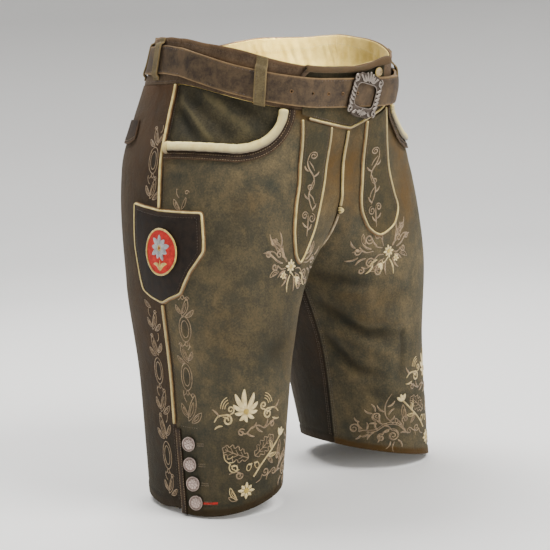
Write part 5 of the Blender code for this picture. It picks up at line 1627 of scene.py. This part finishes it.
def chainRun(chain, wide=16.5, tall=29):
    for high in chain["ovals"]:
        x, z = chainReach(chain, high) / mm, high / mm
        draw("dull", *ovalLine(x, z, wide, tall, 0, 30), closed=True)
        draw("dull", *ovalLine(x, z, wide * 0.62, tall * 0.68, 0, 24), closed=True)
        # the tie under each oval
        draw("dull", *leafLine(x, z - 19.5, 5, 4.2, 0, 0, 12), closed=True)
        for hand in (1, -1):
            draw("dull", *petalLine(x + hand, z - 14.3, 7.5, 2.4 * hand, hand))
    for high, hand, size in chain["leaves"]:
        x, z = chainReach(chain, high) / mm, high / mm
        for across, up, length, width, turn, bend in (
                (-3, -13, 26, 8, 0.42, 1.2), (2, -14, 16, 5.6, 0.95, 1), (-3, -10, 15, 5.2, -0.62, -1)):
            foot = x + across * hand, z + up * size
            leaf("dull", *foot, length * size, width * size, turn * hand, bend * hand)
        draw("dull", *petalLine(x - 4 * hand, z + 4 * size, 11 * size, -0.3 * hand, -2 * hand))
        draw("dull", *scrollPath(
            x + 5.8 * hand, z + 10 * size, 3, 0 if hand > 0 else math.pi, 1.1, hand, 16))


def lowerMotif():
    # an edelweiss over a branch with oak leaves, with scrolls at its sides
    x, z = 96.5, -383
    for turn, length, width in (
            (0, 21.5, 5.6), (0.5, 19, 5.2), (-0.5, 20, 5.2), (1.02, 14, 4.8), (-1.02, 14, 4.8),
            (1.62, 10.5, 4.4), (-1.62, 10.5, 4.4), (2.35, 9.5, 4.2), (-2.35, 9.5, 4.2), (math.pi, 9, 4.2)):
        foot = x + math.sin(turn) * 2.5, z + math.cos(turn) * 2.5
        petal("satin", *foot, length, width, turn, 1.2 if turn > 0 else -1.2)
    knots(x, z, 2, 1.2, 1.1, 1.3, 0.7)
    # scrolls beside the flower
    for hand, x, z in ((-1, 74.5, -390), (1, 122.5, -390.5)):
        scroll("cream", x, z, 5.8, math.pi / 2 - 0.35 * hand, 1.4, hand, (x + 16 * hand, z - 2), 1.8)
        x, z = x - 5 * hand, z + 10.5
        scroll("cream", x, z, 4.2, -math.pi / 2, 1.3, -hand, (x + 10 * hand, z - 7), 1.5)
        for arc in (6.8, 9.3, 11.8):
            sweep = np.linspace(0.1, 1.3, 12)
            draw("cream", x + hand * arc * np.cos(sweep), z + 1.15 * arc * np.sin(sweep), 1.1)
        petal("cream", x + 11 * hand, z - 16.5, 11, 2, hand * 1.9, 1.4)
        petal("dull", x + 14 * hand, z - 7.5, 12, 2, hand * 0.8, 1.4)
    # the wavy stem under the flower
    softThread("dull", (
        (87, -402), (93.5, -406.5), (101, -401), (109, -400.5), (117, -405), (128, -400)), 34, 1.5)
    scroll("dull", 89, -404.5, 4.4, 0.6, 1.2)
    scroll("dull", 127, -404, 4, 2.4, 1.2, -1)
    for x, z, length, turn in (
            (95, -405.5, 10, 2.2), (106, -401, 11, 2.4), (116, -404.5, 10, 0.6), (100, -402, 9, 0.9),
            (123, -403, 11, 1)):
        petal("dull", x, z, length, 2, turn, 1.2)
    # oak leaves: a lobed outline and its veins
    for x, turn in ((93, -1.1), (101, 1.05)):
        t = roundTurns(64)
        share = (1 - np.cos(t)) / 2
        lobes = 7.2 * np.sin(math.pi * share) ** 0.55 * (1 + 0.3 * np.sin(share * 5 * 2 * math.pi - 1.0))
        draw("dull", *bentLine(x, -433, 31, turn, 0, share, lobes * np.sign(np.sin(t))), closed=True)
        draw("dull", *petalLine(x, -433, 28, turn))
        for reach in (6, 12, 18, 24):
            foot = x + math.sin(turn) * reach, -433 + math.cos(turn) * reach
            for lean in (-0.75, 0.75):
                draw("dull", *petalLine(*foot, 6.2, turn + lean), 0.7)
    # acorns between them
    for x, turn in ((94, 3.6), (101, 2.9)):
        spot = x + 4 * math.sin(turn), -440 + 4 * math.cos(turn)
        draw("cream", *ovalLine(*spot, 5, 8, turn, 16), closed=True)
        draw("cream", *petalLine(x - 2.2, -440, 4.6, math.pi / 2, 0.8), 1.8)
    # a long stalk with an alpine rose bud at its head
    stalk = softLine([(96, -456), (108, -445), (126, -432), (140, -421.5)], 26)
    draw("cream", *stalk.T, 2.1, 1.3)
    for turn in (-0.15, 0.5, 1.15):
        petal("satin", 139.2, -422.5, 10, 4.6, turn)
    leaf("cream", 118, -438, 13, 4, 1.75, 1)
    leaf("cream", 124, -434, 12, 4, -0.15, 1)
    # scrolls low on both sides, a small star flower and a pair of leaves at the hem
    scroll("cream", 75.5, -441, 5.8, 2.2, 1.5, 1, (66, -423.5))
    scroll("dull", 80, -450, 4.4, 0.2, 1.3, -1, (69, -447))
    for k in range(4):
        draw("cream", *petalLine(69 + 1.6 * k, -430 - 4 * k, 7.5, 1.3 + 0.15 * k, 1.2))
    flower(85.8, -469, 9.8, 8, 3, 0.2, 0.28)
    draw("cream", *ovalLine(85.8, -469, 12, 12, 0, 30), closed=True)
    leaf("cream", 73.5, -476, 15, 4.8, -0.35, -1.4)
    leaf("dull", 74.5, -476.5, 10.5, 4, -1.15, -1, False)
    scroll("dull", 112, -456, 5, 3.4, 1.4, 1, (98, -464))
    scroll("dull", 124, -461, 4.6, 2.6, 1.3, -1, (112, -466))
    scroll("dull", 133, -446, 5.2, -1.2, 1.2, 1, (129, -462))
    leaf("dull", 131, -448, 22, 6.2, 0.35, 1.4)
    leaf("dull", 135, -456, 16, 5, 0.85, 1)
    leaf("dull", 123.5, -450, 12, 4.2, -0.55, 0)
    # scrolls and curled leaves that run on to the inner leg
    x, z = softThread("dull", ((130, -462), (143, -454), (157, -456), (168, -466), (179, -469)), 30, 1.3)
    draw("dull", x + 0.6, z + 2.6, 0.9)
    softThread("dull", (
        (148, -453), (159, -444), (162, -429), (156, -413)), 24, 0.5 + np.sin(np.linspace(0.3, 3.0, 24)))
    for x, z, reach, start, turns, hand, tail in (
            (196, -466.5, 7.2, 3.6, 1.6, -1, (174, -469)), (146, -469, 7.4, 1.2, 1.7, 1, (160, -457)),
            (170, -445, 5.4, -1.6, 1.5, 1, (156, -454)), (160, -474, 4.6, 1.8, 1.4, -1, (150, -460)),
    ):
        scroll("dull", x, z, reach, start, turns, hand, tail, 1.3)
        scroll("dull", x, z, reach + 2.2, start, 0.55 * turns, hand, None, 0.9)
    for x, z, length, turn, bend in (
            (190, -456, 10, 1, 1.6), (168, -456, 10, 1.7, -1.4), (164, -454, 10, 0.2, 1.6),
            (152, -462, 9, 2, 1.4), (154, -450, 10, -0.6, -1.4), (186, -474, 9, 2.4, 1.4),
            (185, -465, 12, 0.7, 2), (180, -466, 11, 0.1, -1.6), (176, -470, 12, 2.1, 1.8),
            (170, -468, 13, 2.6, -1.8), (166, -464, 12, 0.4, 1.8), (164, -470, 11, 3.2, 1.6),
            (148, -477, 13, 2.7, 2), (143, -477, 14, 3.2, -1.8), (139, -474, 12, 3.8, 1.8),
            (176, -442, 12, 1.2, 1.8), (173, -439, 12, 0.6, -1.6), (162, -438, 13, 0.9, 2),
            (159, -431, 12, -0.8, -1.8), (156, -442, 11, -0.6, 1.6), (137, -464, 11, -1.6, 1.4),
    ):
        petal("dull", x, z, length, 2.1, turn, bend, 0.9)


def upperMotif():
    # a star flower at the foot of the tongue, in a garland of curled leaves
    x, z = 167.5, -232
    for u, v, reach, start, turns, hand, tail in (
            (30, 17.5, 6.2, 3.6, 1.4, 1, (10, 5)), (27, -12, 6.2, 2.6, 1.5, -1, (8, -3)),
            (45, 3.5, 5.4, 1.9, 1.4, 1, (23, 2)), (38, -21, 4.4, 1.5, 1.3, 1, (25, -15)),
            (15, -23, 4.8, 0.4, 1.4, -1, (7, -8)), (17, 21, 4.4, 0.2, 1.3, -1, (8, 7)),
            (-18, 15, 5.2, -0.6, 1.4, 1, (-6, 6)), (-26, 30, 4.8, 0.9, 1.4, -1, (-17, 15)),
            (-25, 2, 4.4, 0.2, 1.3, -1, (-8, -1)), (-33, 17, 3.8, 2.4, 1.3, 1, (-20, 13)),
    ):
        scroll("dull", x + u, z + v, reach, start, turns, hand, (x + tail[0], z + tail[1]), 1.5)
    for u, v, length, turn, bend, kind in (
            (18, 8, 16, 0.6, 2, "dull"), (26, 5, 17, 1, 2.2, "dull"), (34, 2, 18, 1.55, -2, "dull"),
            (43, -4, 17, 1.75, 1.8, "dull"), (33, -6, 15, 2.1, -2, "dull"),
            (23, -13, 15, 2.5, 2.2, "cream"), (17, -9, 13, 2.2, -1.6, "cream"),
            (10, -10, 17, 2.9, 2.2, "cream"), (4, -10, 19, 3.15, -2.2, "dull"),
            (-1, -9.5, 20, 3.45, 2.2, "cream"), (-6, -8, 16, 3.8, -1.8, "dull"),
            (-9, -4, 14, 4.2, 1.8, "dull"), (-7, 6, 20, -0.3, -2.2, "dull"),
            (-10, 10, 22, -0.62, 2.4, "dull"), (-13, 5, 20, -0.95, -2.2, "dull"),
            (-16, 22, 19, -0.1, 2, "dull"), (-21, 22, 20, -0.55, -2, "dull"),
            (-27, 12, 15, -1.1, 1.8, "dull"), (11, 12, 14, 0.1, -1.8, "dull"),
            (48, 8, 12, 0.7, 1.6, "dull"),
    ):
        petal(kind, x + u, z + v, length, 2.3, turn, bend)
    for u, v, length, turn in (
            (35, 10, 15, 0.3), (13, -14, 16, 2.1), (-14, 18, 20, -0.85), (-19, -4, 14, -1.9)):
        leaf("dull", x + u, z + v, length, 5.2, turn, 1.4)
    flower(x, z, 8.2, 8, 2.8, 0.1, 0.28)
    draw("cream", *ovalLine(x, z, 9.2, 9.2), closed=True)
    flower(x - 12, z - 9, 5.2, 6, 2.4, 0.3, 0.26)
    softThread("satin", ((x + 1, z - 7), (x + 5, z - 11.5), (x + 10.5, z - 15)), 12, 1.4)
    for turn in (1.75, 2.25, 2.75):
        petal("satin", x + 9.5, z - 14, 8, 3, turn)


chainRun(chains["front"])
chainRun(chains["back"])
lowerMotif()
upperMotif()


def underKnife(reach, z):
    for word, sign in (("front", 1), ("back", -1)):
        line = knifeSide(word)[::-1]
        half = np.interp(z, line[:, 1], line[:, 0]) + 0.002
        high = (z > knife["point"]) & (z < knifeTop(reach) + 0.001)
        if (high & (sign * reach >= 0) & (np.abs(reach) < half)).any():
            return True
    return False


def tongueScroll(word, sign):
    # a stem with volutes down each tongue
    threads = []
    # two long double curves, each from a volute to a point, and a pair of volutes at the foot
    curves = (
        (scrollPath(50.5, -90, 6.8, 0.2, 1.6, 1, 28), 1.3),
        (((57.2, -88.6), (58.8, -100), (55, -112), (48.5, -123), (46.5, -133), (49, -140)), 40),
        (scrollPath(53, -139, 4.6, 3.3, 1.4, 1, 22), 1.3),
        (((56, -99), (50, -108), (47, -115)), 16),
        (((46.6, -128), (52, -140), (55, -152), (52, -164), (48, -172)), 36),
        (((54.5, -148), (48, -156), (46, -163)), 16),
        (scrollPath(50, -180, 5.6, 1.6, 1.5, 1, 26), 1.3),
        (scrollPath(61, -176, 5, 3, 1.5, -1, 26), 1.3),
        (((56, -176), (56.5, -188), (58, -200)), 18),
        *((petalLine(*leaf, 12), 1.8) for leaf in (
            (56, -115, 11, 0.6, 1.4), (48, -124, 11, -0.9, -1.4), (54.5, -156, 11, 0.75, 1.4),
            (50, -170, 10, -0.7, -1.4), (57, -190, 10, 0.9, 1.2), (57, -193, 9, -0.8, -1.2))))
    for points, size in curves:
        # a soft curve comes as its points and how many steps to take, a ready line with its thickness
        thick = size
        if len(points) > 2:
            points, thick = softLine(points, size).T, 1.3 if size == 16 else 1.7
        x, z = points
        skin = onFront(sign * x * mm, z * mm, gap["lay"] + tongueThick + 0.0009)
        swell = 0.55 + 0.7 * np.sin(np.linspace(0.08, 0.92, len(x)) * math.pi) ** 1.5
        threads.append(tube(*skin, thick * mm * swell, 0.0008, 6))
    tubesPiece("tongueScroll" + word, threads, dullSilk, "cream")


for word, side in hands:
    tongueScroll(word, side)
sewn = dict(dull=[], cream=[], satin=[], gold=[])
for word, side in hands:
    for kind, reach, z, lift, size in drawn:
        if side > 0 or not underKnife(reach, z):
            sewn[kind].append(tube(*onSide(side, reach, z, lift), *size))
for kind, finish in zip(sewn, (dullSilk, creamSilk, satinSilk, goldThread)):
    tubesPiece("embroidery" + kind.capitalize(), sewn[kind], finish, "cream")
print("embroidered,", sum(len(batch) for batch in sewn.values()), "lines of thread")

# stitches
seam = dict(
    length=0.0023, width=0.00065, height=0.0005, pitch=0.0033, hem=(0.005, 0.0078), beside=0.0036,
    aboveKnife=-0.155, belowKnife=-0.267)
rows = dict(brown=[], pale=[], tan=[], red=[], cream=[])


def sewRow(kind, path, ups, pitch=seam["pitch"], scale=1.0, tilt=0.06, length=seam["length"]):
    size = length, seam["width"] * scale, seam["height"] * scale
    rows[kind] += stitchSpots(path, ups, pitch, size, tilt)


def skinRow(kind, side, around, z, lift=0.0001, **how):
    sewRow(kind, *onSkin(side, around, z, lift), **how)


def sideRow(kind, side, reach, z, **how):
    reach, z = np.broadcast_arrays(reach, z)
    skinRow(kind, side, fromSide(reach, z), z, **how)


for path, ups in pocketSeams:
    sewRow("pale", path, ups, pitch=0.0029, scale=0.85)
for word, side in hands:
    for half in (0, 1):
        around = np.linspace(half + 0.02, half + 0.98, 90)
        around = around[around > 1.01] if half else around[around < 0.94]
        for up in seam["hem"]:
            skinRow("tan", side, around, hemZ(around, half) + up, scale=0.9)
    # both sides of the outseam, broken by the knife pocket on the right
    top, crossed = level["bandSeam"] - 0.003, dict(pitch=0.0026, scale=0.9, tilt=0.35)
    above, below = seam["aboveKnife"], seam["belowKnife"]
    sideRow("brown", side, 0.0046, np.linspace(top, above if side < 0 else level["slitTop"], 160), **crossed)
    if side < 0:
        sideRow("brown", side, 0.0046, np.linspace(below, level["slitTop"], 160), **crossed)
    z = np.linspace(top, level["hem"] + 0.01, 160)
    sideRow("brown", side, -0.0048, z[(z > above) | (z < below) | (side > 0)], scale=0.9)
    # the inseam and the middle seam behind
    z = np.linspace(level["crotch"] - 0.004, level["hem"] + 0.01, 100)
    for base, sign in ((0, 1), (2, -1)):
        for reach in (seam["beside"], seam["beside"] + 0.003):
            skinRow("tan", side, base + sign * reach / runLength(base / 2 + 0.25, z), z, scale=0.9)
    z = np.linspace(level["bandSeam"] - 0.003, level["crotch"] + 0.012, 100)
    for reach in (0.0034, 0.0062):
        skinRow("brown", side, 2 - reach / runLength(1.5, z), z, scale=0.9)
    # the band on the slit's edge
    z = np.linspace(level["slitTop"] - 0.0055, level["hem"] + 0.0015, 50)
    for reach in (slit["near"] + 0.0011, slit["far"] - 0.0012):
        sideRow("pale", side, reach, z, lift=gap["lay"] + slit["thick"] + 0.00025, pitch=0.0028, scale=0.85)
    sideRow("tan", side, np.linspace(0.009, 0.036, 20), level["slitTop"] - 0.001)
    # a buttonhole ahead of each button, its two lips and its bars
    for near, high in zip(button["fromSide"], button["z"]):
        for up in (-0.0011, 0.0011):
            reach = np.linspace(near + 0.0095, near + 0.0195, 12)
            skinRow("tan", side, fromSide(reach, high), high + up, pitch=0.0011, tilt=1.4, length=0.002)
    # a bar of red thread locks the lowest one
    reach = np.linspace(0.034, 0.052, 12)
    sideRow("red", side, reach, -0.4772, pitch=0.001, tilt=1.2, length=0.0036, scale=1.5)
    # waistband: under its turned top edge and over its seam
    for half in (0, 1):
        around = np.linspace(half + 0.01, half + 0.99, 120)
        edge = waistEdge(side, around)
        skinRow("brown", side, around, edge - 0.0055, lift=-0.0003, pitch=0.003)
        if half or side > 0:
            skinRow("brown", side, around, level["bandSeam"] + 0.0035, pitch=0.003)
        # on the lining a line dips away from the edge
        dip = 0.011 + 0.005 * np.sin(math.pi * around) ** 2
        depth = -leather["suede"] - gap["inside"] - leather["lining"] - 0.0016
        path, ups = onSkin(side, around, edge - dip, depth)
        sewRow("cream", path, -ups, pitch=0.003, scale=0.9)
side, around, lapped = beltPlaces()
for share in (-0.84, 0.84):
    lift = beltLift(side, around, lapped) + belt["thick"] - 0.0002
    path, ups = onSkin(side, around, beltLevel(side, around, share), lift)
    sewRow("brown", path[2:-6], ups[2:-6], pitch=0.0042, length=0.0028)
for around in loops["around"].values():
    for word, side in hands:
        crossing = float(beltLift(side, around, False)) + belt["thick"]
        crossing += gap["trim"] + loops["thick"] + 0.0006
        bottom, top = (float(beltLevel(side, around, share)) for share in (-1, 1))
        z = np.linspace(bottom + 0.001, top - 0.001, 20)
        for shift in (-0.62, 0.62):
            place = around + shift * loops["width"] / 2 / runLength(around, z)
            skinRow("brown", side, place, z, lift=crossing, pitch=0.003, scale=0.9)
# knife pocket and back flap: one row inside the edge
across, down = np.linspace(-0.92, 0.92, 60), np.linspace(0.045, 0.93, 60)
for t, share in ((across, 0.045 + 0 * across), (-0.92 + 0 * down, down), (0.92 + 0 * down, down)):
    reach, z, swell = knifeCell(t, share)
    sideRow("brown", -1, reach, z, lift=gap["lay"] + knife["thick"] + swell + 0.0001, scale=0.8)
reach, z = backFlapAt(np.linspace(0.04, 0.96, 40), 1)
sideRow("pale", -1, reach, z + 0.0035, lift=gap["lay"] + backFlap["thick"] + backFlap["kick"], scale=0.9)
# the drop flap and the tongues: inside their piping
x = np.linspace(flap["pipingRight"] + 0.004, flap["pipingLeft"] - 0.003, 80)
skinRow("brown", *fromMiddle(x, flapLineZ(x) + 0.0052), lift=gap["lay"] + flap["thick"] + 0.0001)
for word, side in hands:
    near, far, end = tongueBorders(word)
    for line, hand in ((near, side), (far, -side)):
        x, z = softLine(line + [end], 80)[4:-9].T
        skinRow("brown", *fromMiddle(x + hand * 0.0046, z), lift=gap["lay"] + tongueThick + 0.0004, scale=0.9)
for kind, finish in zip(rows, (brownThread, paleThread, tanThread, redThread, creamSilk)):
    finishPiece(repeatMesh("stitches" + kind.capitalize(), stitchMesh, rows[kind]), finish, "cream")

# a cream tab over the outer end of each pocket roll
tab = dict(reach=0.0082, above=0.0068, below=0.0066, width=0.0062, thick=0.0011)
high = float(pocketZ(1.0))
z = np.linspace(high + tab["above"], high - tab["below"], 14)
over = 0.0006 + pocket["rollHeight"] * np.sqrt(np.clip(1 - ((z - high) / 0.0064) ** 2, 0, 1))
tabs = [
    tube(*onSide(side, tab["reach"], z, gap["trim"] + over), tab["width"], tab["thick"], 12)
    for word, side in hands]
tubesPiece("pocketTabs", tabs, pipingLeather, "cream")
print("stitched,", sum(len(spots) for spots in rows.values()), "stitches")
camera = dict(
    at=(-1.0909, -1.1694, -0.0766), yaw=0.7398, pitch=0.1107, roll=-0.0587, focal=1319.6, width=550,
    sensor=36.0)


def placed(name, data):
    made = bpy.data.objects.new(name, data)
    bpy.context.scene.collection.objects.link(made)
    return made


def placeCamera():
    data = bpy.data.cameras.new("camera")
    data.sensor_width = camera["sensor"]
    data.lens = camera["sensor"] * camera["focal"] / camera["width"]
    yaw, pitch, roll = camera["yaw"], camera["pitch"], camera["roll"]
    ahead = Vector((math.sin(yaw) * math.cos(pitch), math.cos(yaw) * math.cos(pitch), -math.sin(pitch)))
    sideways = Vector((math.cos(yaw), -math.sin(yaw), 0.0))
    up = sideways.cross(ahead)
    right = sideways * math.cos(roll) + up * math.sin(roll)
    top = up * math.cos(roll) - sideways * math.sin(roll)
    made = placed("camera", data)
    made.matrix_world = Matrix.Translation(camera["at"]) @ Matrix((right, top, -ahead)).transposed().to_4x4()
    bpy.context.scene.camera = made


def placeLight(name, at, target, size, watts, colour, spread=180):
    data = bpy.data.lights.new(name, "AREA")
    data.shape = "DISK"
    data.size = size
    data.energy = watts
    data.color = colour
    data.spread = math.radians(spread)
    made = placed(name, data)
    made.location = at
    made.rotation_euler = (Vector(target) - Vector(at)).to_track_quat("-Z", "Y").to_euler()


def placeFloor():
    # a plain pale floor that rises into a round wall, far behind the piece on every side
    bm = lathe((
        (0, -508.5), (1, -508.5), (2.2, -508.5), (2.75, -468.5), (3.1, -338.5), (3.3, -88.5), (3.38, 291.5),
        (3.4, 2091.5)), 1, 72)
    bmesh.ops.recalc_face_normals(bm, faces=bm.faces[:])
    bmesh.ops.reverse_faces(bm, faces=bm.faces[:])
    made = linkMesh("floor", bm)
    finish, tree, shader, spot = newMaterial("paleFloor", Roughness=0.9, Specular_IOR_Level=0.1)
    # white underfoot, greyer up the wall
    high = rescale(tree, readHeight(tree, spot), -0.5, 0.45)
    wire(tree, shader, Base_Color=ramp(tree, high, (0, "#ffffff"), (0.35, "#e6e6e6"), (0.9, "#b9b9b9")))
    made.data.materials.append(finish)


def placeWorld():
    world = bpy.data.worlds.new("studio")
    bpy.context.scene.world = world
    world.use_nodes = True
    back = world.node_tree.nodes["Background"]
    back.inputs["Color"].default_value = linearColour("#f1f0ee")
    back.inputs["Strength"].default_value = 0.55


placeCamera()
placeFloor()
placeWorld()
placeLight("key", (0.3, -1.4, 1.35), (0, 0, -0.12), 1.1, 44, (1, 0.98, 0.94))
placeLight("top", (0.05, 1.0, 2.15), (0, 0, -0.2), 1.6, 82, (1, 0.98, 0.94))
placeLight("fill", (-2.4, -0.2, 0.7), (0, 0, -0.25), 1.6, 3, (0.97, 0.98, 1))
placeLight("rim", (1.9, 1.5, 1.7), (0, 0, -0.1), 1.2, 16, (1, 1, 1))
# a narrow beam from above the front reaches the lining through the open waist
placeLight("inside", (-0.42, -0.6, 1.05), (0.075, 0.075, 0.02), 0.08, 0.42, (1, 0.96, 0.84), 10)
print("stage set")
